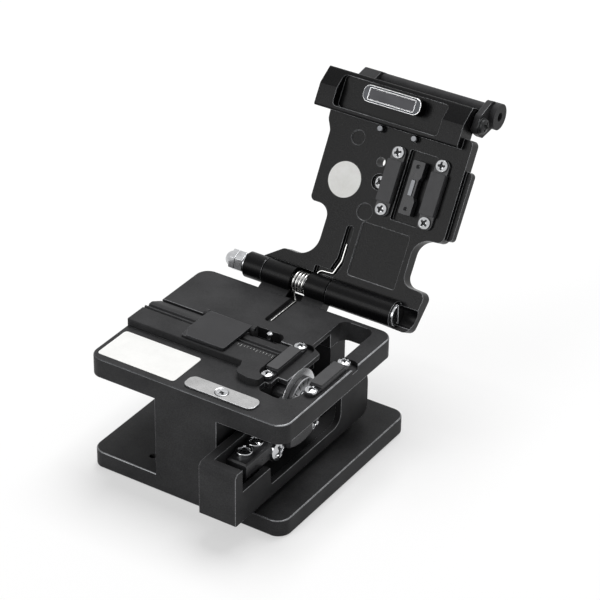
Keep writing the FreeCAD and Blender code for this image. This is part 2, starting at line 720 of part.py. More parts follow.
parts["blade_arm"] = [make_arm()]
top_screw = pan_screw(2.35, 1.5, 1.15, arm_top - floor_top + 1.6)
parts["height_screws"] = [turned(top_screw, AXIS_Z, 0, vec(top_screw_x, y, arm_top)) for y in top_screws]
jack = rod(vec(0, 0, floor_top), AXIS_Z, 0.68, arm_bottom + 2.8 - floor_top)
parts["jack_screws"] = [turned(jack, AXIS_Z, 0, vec(jack_x, y, 0)) for y in jack_screws]
side_screw = pan_screw(3.0, 1.6, 1.48, 8.4)
parts["arm_screws"] = [turned(side_screw, AXIS_Y, 90, vec(arm_right, y, z)) for y, z in side_screws]

peg_spring = helical_wire(1.75, 1.0, 3.0, 0.3)
parts["arm_spring"] = [turned(peg_spring, AXIS_Y, 90, vec(peg_left + 0.3, spring_y, spring_z))]

# ======== blade wheel: turns about its axle to bring up a fresh edge ========
disc_left = blade_x - blade_thickness / 2
disc_right = blade_x + blade_thickness / 2
hub_radius = 6.4
hub_end = disc_right + 1.6
boss_radius = 2.6


def make_disc():
    """The blade: a thin wheel with both faces bevelled to the edge."""
    half = blade_thickness / 2
    section = [
        vec(-half, boss_radius + seat, 0), vec(-half, blade_radius - 0.9, 0), vec(-0.04, blade_radius, 0),
        vec(0.04, blade_radius, 0), vec(half, blade_radius - 0.9, 0), vec(half, boss_radius + seat, 0),
    ]
    wire = Part.makePolygon(section + section[:1])
    disc = Part.Face(wire).revolve(vec(0, 0, 0), AXIS_X, 360)
    disc.translate(vec(blade_x, blade_y, blade_z))
    return disc


def make_hub():
    """Drum with a recessed dial face, sixteen lines round it, and the boss through the blade."""
    drum = rod(vec(disc_right, blade_y, blade_z), AXIS_X, hub_radius, hub_end - disc_right)
    drum = drum.makeChamfer(0.25, [edge for edge in drum.Edges
                                   if edge.BoundBox.XMin > hub_end - 0.01 and edge.BoundBox.XLength < 0.01])
    boss = rod(vec(upright_right + 0.25, blade_y, blade_z), AXIS_X, boss_radius, disc_right - upright_right)
    hub = fuse(drum, boss)
    tools = [rod(vec(hub_end - 0.9, blade_y, blade_z), AXIS_X, 3.4, 2),
             rod(vec(disc_left - 3, blade_y, blade_z), AXIS_X, 1.5 + running, 9)]
    for i in range(16):
        line = Part.makeBox(0.4, 0.22, 1.2, vec(hub_end - 0.2, blade_y - 0.11, blade_z + 4.7))
        line.rotate(vec(0, blade_y, blade_z), AXIS_X, 360 / 16 * i)
        tools.append(line)
    return cut(hub, *tools)


parts["blade_wheel"] = [make_disc()]
parts["index_hub"] = [make_hub()]
axle = pan_screw(2.5, 1.2, 1.48, hub_end - 0.9 - upright_right + 3.9)
parts["blade_axle_screw"] = [turned(axle, AXIS_Y, 90, vec(hub_end - 0.8, blade_y, blade_z))]

# ======== lid, in lid coordinates: y runs away from the hinge, z out of the underside ========
under = -lid_gap
back = under - lid_thickness
fibre_s = axis_y - fibre_y
magnet_s = axis_y - strike_y
magnet_x = strike_x
magnet_face = axis_z - strike_top - magnet_gap
pad_face = axis_z - fibre_z - pad_gap
head_start = 48.2
head_end = magnet_s + 4.3
head_face = 1.4
head_left = left + 17.6
head_right = right + 0.5
trough_floor = -2.0
pivot_s = magnet_s + 0.3
pivot_z = back + 0.8
grip_s = pivot_s + 4.2
grip_z = pivot_z - 5.8
grip_radius = 2.2
lever_slot = (left + 24.4, left + 30.4)
lever_right = head_right + slip
arm_plate = 1.8
arm_boss = 3.6
boss_s = grip_s - 0.5
boss_z = grip_z - 0.3
pivot_pin_left = head_left + 4.5
pivot_pin_length = 9.6
pivot_pin_radius = 0.7
pivot_screw_radius = 1.0
pivot_bore = 5.0
trim_x = blade_x - 10.5
trim_s = 33.0
slot_x = coil_right + 6.1
anvil_travel = 0.8
anvil_face = pad_face - anvil_travel
anvil_floor = under - 1.6


def make_lid():
    """Lid casting: plate with a narrow neck, two hinge knuckles and the magnet head."""
    outline = [
        (left + 13.0, -2.8, 1.0), (left + 39.6, -3.4, 0), (right + 1.4, -4.2, 2.2), (right + 3.2, 7.8, 2.0),
        (right - 4.6, 8.2, 3.0), (right - 4.6, 21.8, 5.0), (right + 3.6, 22.0, 2.2),
        (right + lid_overhang, head_start + 3.0, 1.5), (left + lid_from_left - 2.0, head_start + 3.0, 0),
        (left + lid_from_left - 1.6, head_start - 2.5, 3.0), (left + lid_from_left, head_start - 5.5, 3.0),
        (left + lid_from_left + 0.3, 22.6, 1.5), (left + 30.2, 22.6, 3.5), (left + 30.2, 7.4, 6.0),
        (left + 20.3, 7.4, 2.0), (left + 13.0, 2.4, 1.0),
    ]
    lid = plate(outline, back, under)
    lip = plate(rectangle(right + lid_overhang - 3, right + 5.2, 23.2, 42.8, 1.2), back, back + 2.3)
    head = bar_along_x([(head_start, back, 0), (head_end, back, 1.2), (head_end, under + 0.4, 0.8),
                        (head_end - 5.2, head_face, 0.8), (head_start, head_face, 0.6)],
                       head_left, head_right)
    lid = lid.fuse(lip).fuse(head)
    for first, last in (collar, long_barrel):
        lid = lid.fuse(rod(vec(first, 0, 0), AXIS_X, barrel_radius, last - first))
    tools = []
    # room for the fixed knuckles and the spring between the lid's own knuckles
    tools.append(rod(vec(collar[1], 0, 0), AXIS_X, barrel_radius + 0.35, long_barrel[0] - collar[1]))
    tools.append(rod(vec(left, 0, 0), AXIS_X, shaft_radius + running, body_width + 5))
    tools.append(rod(vec(long_barrel[1] - 0.7, 0, 0), AXIS_X, 3.1 + 0.15, 8))
    # the trough for the magnet and the slot for the grip lever's left arm
    tools.append(plate(rectangle(left + 23.2, right - 6.2, head_start + 1.3, head_end - 1.2, 1.2),
                       trough_floor, head_face + 2))
    tools.append(box(*lever_slot, pivot_s - 3.4, head_end + 1, back - 1, pivot_z + 1.9))
    # recessed neck panel, spring recess, dimples and holes
    tools.append(plate(rectangle(blade_x - 11.7, right - 6.4, 6.0, 21.4, 0.8), under - 0.5, under + 1))
    leg_recess = [
        (coil_right - 1.0, 0, 0), (coil_right + 1.6, 0, 0), (coil_right + 1.9, 3.9, 0), (slot_x - 0.7, 3.9, 0),
        (slot_x + 1.1, 8.0, 0), (slot_x + 1.1, 19.2, 1.05), (slot_x - 1.1, 19.2, 1.05), (slot_x - 1.1, 9.6, 0),
        (slot_x - 2.4, 5.8, 0), (coil_right - 1.0, 5.8, 0),
    ]
    tools.append(plate(leg_recess, -coil_radius - wire_radius - 0.1, under + 1))
    tools.append(rod(vec(left + 32.4, 43.0, under - 0.5), AXIS_Z, 2.1, 1))
    tools.append(rod(vec(blade_x - 12.1, 24.0, under - 0.5), AXIS_Z, 2.4, 1))
    tools.append(rod(vec(blade_x - 11.7, 38.4, back - 1), AXIS_Z, 1.3, lid_thickness + 2))
    tools.append(rod(vec(trim_x, trim_s, under - 1.3), AXIS_Z, 2.3, 2))
    tools.append(rod(vec(trim_x, trim_s, under - 3.0), AXIS_Z, 0.8 + seat, 2))
    # pocket for the anvil and its guide pins
    tools.append(plate(rectangle(blade_x - 4.0, blade_x + 4.6, fibre_s - 10.0, fibre_s + 10.0, 0.6),
                       anvil_floor, under + 1))
    for s in anvil_pins:
        tools.append(rod(vec(blade_x, s, anvil_floor - 1.2), AXIS_Z, 0.5, 2))
    # tapped holes for the clamp screws, the pivot screws and the stop pins
    for x in clamp_xs:
        for offset in (-1, 1):
            tools.append(rod(vec(x, fibre_s + offset * clamp_screw_pitch / 2, under - 3.0), AXIS_Z, 0.8, 4))
    tools.append(rod(vec(pivot_pin_left, pivot_s, pivot_z), AXIS_X, pivot_pin_radius, pivot_pin_length))
    tools.append(rod(vec(head_right - pivot_bore, pivot_s, pivot_z), AXIS_X, pivot_screw_radius, pivot_bore + 1))
    for x in stop_pin_xs:
        tools.append(rod(vec(x, stop_pin_s, under - 1.5), AXIS_Z, 1.0, 3))
    return cut(lid, *tools).removeSplitter()


anvil_pins = (fibre_s - 6.0, fibre_s + 6.0)
stop_pin_xs = (strike_x - 1.9, strike_x + 8.9)
stop_pin_s = head_start - 1.05
parts["lid"] = [on_lid(make_lid())]
parts["round_label"] = [on_lid(rod(vec(left + 32.2, 30.8, under), AXIS_Z, 5.1, 0.1))]

# ---- lid: magnet in its holder ----
holder = plate(rectangle(magnet_x - magnet_length / 2, magnet_x + magnet_length / 2,
                         magnet_s - magnet_width / 2, magnet_s + magnet_width / 2, 2.0),
               trough_floor, magnet_face)
magnet_cut = rectangle(magnet_x - magnet_length / 2 + 1.9, magnet_x + magnet_length / 2 - 1.9,
                       magnet_s - magnet_width / 2 + 0.8, magnet_s + magnet_width / 2 - 0.8, 0.3)
parts["magnet_holder"] = [on_lid(holder.cut(plate(magnet_cut, trough_floor + 0.6, magnet_face + 1)))]
parts["magnet"] = [on_lid(plate(magnet_cut, trough_floor + 0.6, magnet_face - 0.25))]
stop_pin = rod(vec(0, 0, under - 1.45), AXIS_Z, 0.98, 1.45 - under)
stop_pin = stop_pin.makeChamfer(0.2, edges_at(stop_pin, 0))
parts["stop_pins"] = [on_lid(turned(stop_pin, AXIS_Z, 0, vec(x, stop_pin_s, 0))) for x in stop_pin_xs]
parts["trim_screw"] = [on_lid(turned(pan_screw(1.9, 0.9, 0.8, 1.6), AXIS_Z, 0,
                                     vec(trim_x, trim_s, under - 1.3)))]

# ---- lid: upper clamps ----
upper_height = pad_face - under - pad_height
upper_bar = clamp_body(upper_height, upper_clamp_width)
upper_pad = clamp_pad(upper_clamp_width)
upper_pads = []
upper_screws = []
for name, x in zip(names, clamp_xs):
    parts["upper_clamp_" + name] = [on_lid(turned(upper_bar, AXIS_Z, 0, vec(x, fibre_s, under)))]
    upper_pads.append(on_lid(turned(upper_pad, AXIS_Z, 0, vec(x, fibre_s, under + upper_height))))
    for offset in (-1, 1):
        place = vec(x, fibre_s + offset * clamp_screw_pitch / 2, under + clamp_tab)
        upper_screws.append(on_lid(turned(small_screw, AXIS_Z, 0, place)))
parts["upper_clamp_pads"] = upper_pads
parts["upper_clamp_screws"] = upper_screws

# ---- lid: the spring's upper leg, which follows the lid ----
leg_left = coil_right + running
leg_points = [
    vec(leg_left, 0.2, -coil_radius),
    vec(leg_left, 4.0, -coil_radius),
    vec(leg_left + 1.0, 4.7, -coil_radius),
    vec(slot_x - 1.5, 4.9, -coil_radius),
    vec(slot_x, 9.0, -coil_radius),
    vec(slot_x, 14.0, -coil_radius),
]
parts["lid_spring_leg"] = [on_lid(swept(leg_points, wire_radius))]

# ======== anvil: slides out of the lid's underside to bend the fibre ========
anvil_half = 1.9
anvil = plate([
    (blade_x - anvil_half, fibre_s - 7.6, 0.4), (blade_x + anvil_half, fibre_s - 7.6, 0.4),
    (blade_x + anvil_half, fibre_s - 3.4, 0), (blade_x + 1.3, fibre_s - 2.4, 0),
    (blade_x + 1.3, fibre_s + 2.4, 0), (blade_x + anvil_half, fibre_s + 3.4, 0),
    (blade_x + anvil_half, fibre_s + 7.6, 0.4), (blade_x - anvil_half, fibre_s + 7.6, 0.4),
], anvil_floor + 0.1, anvil_face - 0.3)
for s in anvil_pins:
    anvil = anvil.cut(rod(vec(blade_x, s, anvil_floor - 1), AXIS_Z, 0.5 + running, 6))
tip_seat = rectangle(blade_x - 0.6, blade_x + 0.6, fibre_s - 2.2, fibre_s + 2.2, 0.2)
anvil = anvil.cut(plate(tip_seat, anvil_face - 1.2, anvil_face + 1))
parts["anvil_arm"] = [on_lid(anvil)]
parts["anvil_tip"] = [on_lid(plate(tip_seat, anvil_face - 1.2, anvil_face))]
parts["anvil_pins"] = [on_lid(rod(vec(blade_x, s, anvil_floor - 1.2), AXIS_Z, 0.5, 2.4)) for s in anvil_pins]

# ======== grip lever: lifts the lid off its magnet ========


def lever_outline(pivot_reach, grip_reach):
    """Outline of a lever arm: round the pivot in front, round the grip bar behind."""
    return [
        (pivot_s - 2.4, pivot_z + pivot_reach, pivot_reach * 0.9),
        (pivot_s - 3.2, pivot_z - 3.0, 1.2),
        (grip_s - grip_reach, grip_z - grip_reach, grip_reach * 0.8),
        (grip_s + grip_reach, grip_z - grip_reach, grip_reach * 0.8),
        (grip_s + grip_reach, grip_z + grip_reach, grip_reach * 0.7),
        (pivot_s + 2.2, pivot_z + pivot_reach, pivot_reach * 0.9),
    ]


def make_lever():
    """The grip bar between its two arms, with the pivot bores and the boss round the bar's end."""
    bar_left = lever_slot[0] + slip
    bar = rod(vec(bar_left, grip_s, grip_z), AXIS_X, grip_radius, lever_right + arm_plate / 2 - bar_left)
    left_arm = bar_along_x(lever_outline(1.4, 2.3), bar_left, lever_slot[1] - slip)
    right_arm = bar_along_x(lever_outline(2.0, 3.1), lever_right, lever_right + arm_plate)
    boss = rod(vec(lever_right, boss_s, boss_z), AXIS_X, 3.7, arm_boss)
    lever = fuse(bar, left_arm, right_arm, boss)
    return cut(lever, rod(vec(bar_left - 1, pivot_s, pivot_z), AXIS_X, pivot_pin_radius + running, 8),
               rod(vec(lever_right - 1, pivot_s, pivot_z), AXIS_X, pivot_screw_radius + running, arm_plate + 2),
               rod(vec(lever_right + arm_boss - 1.6, boss_s, boss_z), AXIS_X, 1.25, 4))


parts["grip_lever"] = [on_lid(make_lever())]
parts["lever_pivot_pin"] = [on_lid(rod(vec(pivot_pin_left, pivot_s, pivot_z), AXIS_X,
                                       pivot_pin_radius, pivot_pin_length))]
washer_start = lever_right + arm_plate
washer_thickness = 0.5
lever_washer = rod(vec(washer_start, pivot_s, pivot_z), AXIS_X, 2.4, washer_thickness)
washer_bore = rod(vec(washer_start - 1, pivot_s, pivot_z), AXIS_X, pivot_screw_radius + seat, 3)
parts["lever_washer"] = [on_lid(lever_washer.cut(washer_bore))]
screw_start = washer_start + washer_thickness
lever_screw = pan_screw(2.1, 1.2, pivot_screw_radius - seat, screw_start - head_right + pivot_bore - 0.4)
parts["lever_pivot_screw"] = [on_lid(turned(lever_screw, AXIS_Y, 90, vec(screw_start, pivot_s, pivot_z)))]

# ======== one file per sub-part ========
for node, solids in parts.items():
    Part.makeCompound(solids).exportStep("parts/" + node + ".step")
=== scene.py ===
import bpy
import bmesh
import json
import math
import numpy as np
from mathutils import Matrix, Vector


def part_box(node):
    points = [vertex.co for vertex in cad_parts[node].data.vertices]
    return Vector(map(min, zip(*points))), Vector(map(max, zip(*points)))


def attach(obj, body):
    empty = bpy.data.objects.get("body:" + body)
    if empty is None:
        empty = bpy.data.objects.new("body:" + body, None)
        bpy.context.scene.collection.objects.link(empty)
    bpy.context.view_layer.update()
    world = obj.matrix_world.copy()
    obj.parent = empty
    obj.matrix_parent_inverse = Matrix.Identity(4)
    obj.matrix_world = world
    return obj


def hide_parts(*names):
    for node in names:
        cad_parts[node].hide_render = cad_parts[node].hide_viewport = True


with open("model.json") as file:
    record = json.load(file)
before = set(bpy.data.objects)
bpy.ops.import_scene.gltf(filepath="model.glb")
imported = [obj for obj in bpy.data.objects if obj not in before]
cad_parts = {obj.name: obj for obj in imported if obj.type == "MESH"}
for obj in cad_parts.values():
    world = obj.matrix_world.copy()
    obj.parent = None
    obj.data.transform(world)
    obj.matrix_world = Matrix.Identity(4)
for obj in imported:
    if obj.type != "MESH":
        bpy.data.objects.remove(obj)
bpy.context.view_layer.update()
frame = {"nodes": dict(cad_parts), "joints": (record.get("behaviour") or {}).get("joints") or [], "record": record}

mm = 0.001
record = frame["record"]
bodyOf = {node: body for body, nodes in record["behaviour"]["bodies"].items() for node in nodes}
slotOf = {part["node"]: part["material_slot"] for part in record["subparts"]}
jointOf = {joint["name"]: joint for joint in frame["joints"]}


# camera: a long lens from the front right, above the deck
cameraLook = {
    "azimuth": 34.05,
    "elevation": 33.04,
    "distance": 0.6951,
    "target": (0.0, -0.00375, 0.030),
    "lens": 153.7,
    "shift": (0.095, 0.103),
}


def placeCamera(look):
    # the camera sits at target + distance * (sin az cos el, -cos az cos el, sin el) and looks back along it
    azimuth = math.radians(look["azimuth"])
    elevation = math.radians(look["elevation"])
    outward = Vector((math.sin(azimuth) * math.cos(elevation), -math.cos(azimuth) * math.cos(elevation),
                      math.sin(elevation)))
    camera = bpy.data.objects.new("camera", bpy.data.cameras.new("camera"))
    camera.location = Vector(look["target"]) + outward * look["distance"]
    camera.rotation_euler = outward.to_track_quat("Z", "Y").to_euler()
    camera.data.lens = look["lens"]
    camera.data.shift_x, camera.data.shift_y = look["shift"]
    camera.data.clip_start = 0.01
    bpy.context.scene.collection.objects.link(camera)
    bpy.context.scene.camera = camera


placeCamera(cameraLook)
print("camera placed")


# finishes: every colour is sRGB hex, every pattern size is in real millimetres
def linear(hexColour):
    # c / 12.92 below 0.04045, otherwise ((c + 0.055) / 1.055) to the power 2.4
    value = hexColour.lstrip("#")
    channels = np.array([int(value[i:i + 2], 16) for i in (0, 2, 4)]) / 255
    light = np.where(channels <= 0.04045, channels / 12.92, ((channels + 0.055) / 1.055) ** 2.4)
    return (*light.tolist(), 1.0)


def addNode(material, kind, settings=None, links=None):
    # settings name a property of the node or one of its inputs, links name an input and what feeds it
    node = material.node_tree.nodes.new(kind)
    for name, value in (settings or {}).items():
        if isinstance(name, str) and hasattr(node, name):
            setattr(node, name, value)
        else:
            node.inputs[name].default_value = value
    for name, source in (links or {}).items():
        material.node_tree.links.new(source, node.inputs[name])
    return node


# nearly all values of a noise texture lie between these two, which become the ends of a finish's range
noiseLow, noiseHigh = 0.35, 0.65
grainHeight = 0.02  # millimetres that the grain lifts the surface at full strength


def makeFinish(name, look):
    # a broad cloud and a fine grain mix two close colours, and the grain moves roughness and bump
    material = bpy.data.materials.new(name)
    material.use_nodes = True
    material.node_tree.nodes.clear()
    place = addNode(material, "ShaderNodeTexCoord").outputs["Object"]
    cloud = addNode(material, "ShaderNodeTexNoise",
                    {"Scale": 1000 / look["cloudMm"], "Detail": 3.0, "Roughness": 0.55}, {"Vector": place})
    stretched = addNode(material, "ShaderNodeMapping", {"Scale": look.get("stretch", (1, 1, 1))},
                        {"Vector": place})
    grain = addNode(material, "ShaderNodeTexNoise",
                    {"Scale": 1000 / look["grainMm"], "Detail": 4.0, "Roughness": 0.65},
                    {"Vector": stretched.outputs["Vector"]})
    share = addNode(material, "ShaderNodeMix", {0: look.get("grainShare", 0.5)},
                    {2: cloud.outputs["Fac"], 3: grain.outputs["Fac"]})
    spread = addNode(material, "ShaderNodeMapRange", {"From Min": noiseLow, "From Max": noiseHigh},
                     {"Value": share.outputs[0]})
    colour = addNode(material, "ShaderNodeMix",
                     {"data_type": "RGBA", 6: linear(look["dark"]), 7: linear(look["light"])},
                     {0: spread.outputs[0]})
    low, high = look["roughness"]
    rough = addNode(material, "ShaderNodeMapRange",
                    {"From Min": noiseLow, "From Max": noiseHigh, "To Min": low, "To Max": high},
                    {"Value": grain.outputs["Fac"]})
    bump = addNode(material, "ShaderNodeBump",
                   {"Strength": look["bump"], "Distance": grainHeight * mm}, {"Height": grain.outputs["Fac"]})
    shader = addNode(material, "ShaderNodeBsdfPrincipled", look["uniform"], {
        "Base Color": colour.outputs[2], "Roughness": rough.outputs[0], "Normal": bump.outputs[0]})
    addNode(material, "ShaderNodeOutputMaterial", {}, {"Surface": shader.outputs[0]})
    return material


# aluminium, bead blasted and black anodised: a dark oxide skin over a sparkling fine grain. The blast
# leaves pits of about 0.1 mm, drawn at 0.35 mm so that they show
anodisedBody = makeFinish("anodisedAluminiumBlasted", {
    "dark": "#272728", "light": "#3b3b3c", "cloudMm": 9.0, "grainMm": 0.35, "grainShare": 0.6,
    "roughness": (0.40, 0.54), "bump": 0.3, "uniform": {"IOR": 1.5, "Specular IOR Level": 0.08},
})
# aluminium, milled fine and black anodised: smoother and glossier than the blasted casting
anodisedLid = makeFinish("anodisedAluminiumSmooth", {
    "dark": "#050506", "light": "#0d0d0e", "cloudMm": 12.0, "grainMm": 0.3, "grainShare": 0.5,
    "roughness": (0.24, 0.36), "bump": 0.14, "uniform": {"IOR": 1.5, "Specular IOR Level": 0.1},
})
# aluminium, milled and black anodised: the faint lines of the cutter, 0.3 mm apart, run along the bar
anodisedArm = makeFinish("anodisedAluminiumMilled", {
    "dark": "#282829", "light": "#3a3a3c", "cloudMm": 6.0, "grainMm": 0.3, "stretch": (1, 0.25, 1),
    "roughness": (0.26, 0.40), "bump": 0.18, "uniform": {"IOR": 1.5, "Specular IOR Level": 0.25},
})
# the narrow broken edge that the deburring wheel leaves on an anodised casting, painted much paler than the face
# as a painted edge highlight
brokenEdge = makeFinish("anodisedEdgePaintedHighlight", {
    "dark": "#6a6b6d", "light": "#a6a7aa", "cloudMm": 3.0, "grainMm": 0.3, "grainShare": 0.5,
    "roughness": (0.26, 0.40), "bump": 0.1, "uniform": {"Metallic": 0.5},
})
# the same broken edge on the milled pieces: a fainter painted edge highlight, only a little paler than the face
smoothEdge = makeFinish("anodisedEdgeSmooth", {
    "dark": "#2c2d2f", "light": "#4a4b4d", "cloudMm": 3.0, "grainMm": 0.3, "grainShare": 0.5,
    "roughness": (0.20, 0.32), "bump": 0.1, "uniform": {"Metallic": 0.5},
})
# the edges of the lid, the carriage and the base: a painted edge highlight between the other two in brightness
paleEdge = makeFinish("anodisedEdgePale", {
    "dark": "#5c5d5f", "light": "#8c8d8f", "cloudMm": 3.0, "grainMm": 0.3, "grainShare": 0.5,
    "roughness": (0.20, 0.32), "bump": 0.1, "uniform": {"Metallic": 0.5},
})
# steel pressing, bright nickel plated: its rolled rim is a bright line round darker flats
brightRim = makeFinish("nickelPlateRim", {
    "dark": "#d6d7d9", "light": "#f0f0f0", "cloudMm": 2.0, "grainMm": 0.3,
    "roughness": (0.08, 0.16), "bump": 0.04, "uniform": {"Metallic": 1.0},
})
# the flats of the same pressing, polished: painted nearly black as a painted reflection of the dark lid round them
paintedReflectionFlat = makeFinish("nickelPlatePaintedReflection", {
    "dark": "#1e1f20", "light": "#2c2d2f", "cloudMm": 3.0, "grainMm": 0.3,
    "roughness": (0.08, 0.16), "bump": 0.04, "uniform": {"Metallic": 1.0},
})
# rubber sheet, moulded: matt and slightly dusty
footRubber = makeFinish("rubberMoulded", {
    "dark": "#191919", "light": "#262626", "cloudMm": 5.0, "grainMm": 0.4,
    "roughness": (0.70, 0.85), "bump": 0.3, "uniform": {"IOR": 1.52},
})
# rubber pads, ground flat: matt, with faint lines of the wheel across them
clampRubber = makeFinish("rubberGround", {
    "dark": "#202022", "light": "#2f2f31", "cloudMm": 3.0, "grainMm": 0.25, "stretch": (1, 0.4, 1),
    "roughness": (0.55, 0.70), "bump": 0.3, "uniform": {"IOR": 1.52},
})
# vinyl sticker, cast film: pale, faintly wavy where it follows the metal
bareLabel = makeFinish("vinylFilmWhite", {
    "dark": "#eeeeec", "light": "#f6f6f4", "cloudMm": 8.0, "grainMm": 1.2, "grainShare": 0.3,
    "roughness": (0.32, 0.45), "bump": 0.05, "uniform": {"IOR": 1.5},
})
# the smaller sticker is of a thinner and greyer film. The paint in the scale's lines is as pale
bareSticker = makeFinish("vinylFilmPale", {
    "dark": "#dededa", "light": "#ececea", "cloudMm": 5.0, "grainMm": 1.0, "grainShare": 0.3,
    "roughness": (0.35, 0.50), "bump": 0.06, "uniform": {"IOR": 1.5},
})
# steel, surface ground along X then nickel plated: soft lines 0.25 mm apart
groundSteel = makeFinish("steelGroundPlated", {
    "dark": "#a0a0a0", "light": "#b0b0b0", "cloudMm": 6.0, "grainMm": 0.25, "grainShare": 0.15,
    "stretch": (0.15, 1, 1), "roughness": (0.26, 0.32), "bump": 0.02, "uniform": {"Metallic": 1.0},
})
# steel, cold headed and bright nickel plated: nearly a mirror with faint ripples
plated = makeFinish("nickelPlateBright", {
    "dark": "#aeafb1", "light": "#c8c9cb", "cloudMm": 2.0, "grainMm": 0.3, "grainShare": 0.4,
    "roughness": (0.09, 0.17), "bump": 0.06, "uniform": {"Metallic": 1.0},
})
# steel screws, black oxide: dull and nearly black
blackOxide = makeFinish("steelBlackOxide", {
    "dark": "#18191a", "light": "#2a2b2c", "cloudMm": 1.5, "grainMm": 0.2,
    "roughness": (0.35, 0.50), "bump": 0.1, "uniform": {"Metallic": 0.6},
})
# spring wire, drawn: bright lines along the wire
springWire = makeFinish("springSteelDrawn", {
    "dark": "#b4b4b2", "light": "#dadad8", "cloudMm": 2.0, "grainMm": 0.2,
    "roughness": (0.16, 0.28), "bump": 0.08, "uniform": {"Metallic": 1.0},
})
# tungsten carbide, lapped: bright grey faces, a little diffuse so that they stay pale in the dark opening
carbide = makeFinish("carbideLapped", {
    "dark": "#dcdddf", "light": "#eeeff1", "cloudMm": 4.0, "grainMm": 0.2,
    "roughness": (0.26, 0.36), "bump": 0.05, "uniform": {"Metallic": 0.7},
})
# steel leaf, painted black and rubbed: satin like the casting beside it
leafPaint = makeFinish("steelPaintedBlack", {
    "dark": "#1c1c1e", "light": "#2b2b2d", "cloudMm": 7.0, "grainMm": 0.3,
    "roughness": (0.34, 0.46), "bump": 0.14, "uniform": {"IOR": 1.5, "Specular IOR Level": 0.2},
})
# magnet block, nickel plated and lapped: painted even dark grey as a painted reflection of the dark lid round it
magnetPaintedReflection = makeFinish("nickelPlateLappedPaintedReflection", {
    "dark": "#2a2a2c", "light": "#353537", "cloudMm": 5.0, "grainMm": 0.25, "stretch": (0.2, 1, 1),
    "roughness": (0.30, 0.42), "bump": 0.08, "uniform": {"Metallic": 0.9},
})
# bearing steel, ground along its length: mid grey with fine lines that way
railSteel = makeFinish("bearingSteelGround", {
    "dark": "#404143", "light": "#565759", "cloudMm": 6.0, "grainMm": 0.2, "stretch": (1, 0.15, 1),
    "roughness": (0.20, 0.34), "bump": 0.08, "uniform": {"Metallic": 1.0},
})


def makeDialFinish(name, look):
    # the clear anodised finish, with dark engraved lines where the angle round the axle, counted in steps
    # from line to line, is near a whole number, and only between two radii
    material = makeFinish(name, look)
    low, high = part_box("index_hub")
    nodes = material.node_tree.nodes
    shader = next(node for node in nodes if node.type == "BSDF_PRINCIPLED")
    plain = shader.inputs["Base Color"].links[0].from_socket
    place = addNode(material, "ShaderNodeTexCoord").outputs["Object"]
    middle = (high.x, (low.y + high.y) / 2, (low.z + high.z) / 2)
    centred = addNode(material, "ShaderNodeVectorMath", {"operation": "SUBTRACT", 1: middle}, {0: place})
    parts = addNode(material, "ShaderNodeSeparateXYZ", {}, {0: centred.outputs[0]})
    y, z = parts.outputs["Y"], parts.outputs["Z"]
    angle = addNode(material, "ShaderNodeMath", {"operation": "ARCTAN2"}, {0: z, 1: y})
    reach = addNode(material, "ShaderNodeMath", {"operation": "MULTIPLY"}, {0: y, 1: y})
    square = addNode(material, "ShaderNodeMath", {"operation": "MULTIPLY_ADD"},
                     {0: z, 1: z, 2: reach.outputs[0]})
    radius = addNode(material, "ShaderNodeMath", {"operation": "SQRT"}, {0: square.outputs[0]}).outputs[0]
    darkest = None
    for lines, inside, outside, width in look["lines"]:
        turns = addNode(material, "ShaderNodeMath", {"operation": "MULTIPLY", 1: lines / (2 * math.pi)},
                        {0: angle.outputs[0]})
        within = addNode(material, "ShaderNodeMath", {"operation": "PINGPONG", 1: 0.5}, {0: turns.outputs[0]})
        # the line's half width in millimetres becomes a share of such a step at the middle radius
        half = width / 2 * lines / (2 * math.pi * (inside + outside) / 2)
        line = addNode(material, "ShaderNodeMapRange",
                       {"From Min": half, "From Max": half * look["fade"], "To Min": 1.0, "To Max": 0.0},
                       {"Value": within.outputs[0]})
        outer = addNode(material, "ShaderNodeMath", {"operation": "LESS_THAN", 1: outside * mm},
                        {0: radius})
        inner = addNode(material, "ShaderNodeMath", {"operation": "GREATER_THAN", 1: inside * mm},
                        {0: radius})
        ring = addNode(material, "ShaderNodeMath", {"operation": "MULTIPLY"},
                       {0: outer.outputs[0], 1: inner.outputs[0]})
        mark = addNode(material, "ShaderNodeMath", {"operation": "MULTIPLY"},
                       {0: ring.outputs[0], 1: line.outputs[0]}).outputs[0]
        if darkest:
            mark = addNode(material, "ShaderNodeMath", {"operation": "MAXIMUM"},
                           {0: darkest, 1: mark}).outputs[0]
        darkest = mark
    marked = addNode(material, "ShaderNodeMix", {"data_type": "RGBA", 7: linear(look["lineColour"])},
                     {0: darkest, 6: plain})
    material.node_tree.links.new(marked.outputs[2], shader.inputs["Base Color"])
    return material


# aluminium, turned and clear anodised: pale satin grey. A line is how many there are in a turn, its inner and
# outer radius and its width in millimetres, and its sides fade out at 1.6 times the half width
dialMetal = makeDialFinish("anodisedAluminiumDial", {
    "dark": "#b8b9bc", "light": "#cecfd2", "cloudMm": 3.0, "grainMm": 0.2,
    "roughness": (0.24, 0.36), "bump": 0.08, "uniform": {"Metallic": 0.5},
    "lines": [(16, 4.3, 6.2, 0.3), (48, 5.3, 6.2, 0.14)], "lineColour": "#1c1c1e", "fade": 1.6,
})

finishOf = {
    "anodised_body": anodisedBody, "anodised_lid": anodisedLid, "anodised_arm": anodisedArm,
    "foot_rubber": footRubber, "bare_label": bareLabel, "bare_sticker": bareSticker,
    "ground_steel": groundSteel, "plated_screw": plated, "black_screw": blackOxide,
    "spring_steel": springWire, "clamp_rubber": clampRubber, "blade_carbide": carbide,
    "dial_metal": dialMetal, "leaf_metal": leafPaint, "magnet_metal": magnetPaintedReflection, "rail_steel": railSteel,
}
for name, node in frame["nodes"].items():
    node.data.materials.clear()
    node.data.materials.append(finishOf[slotOf[name]])
print("finishes made:", len(finishOf))


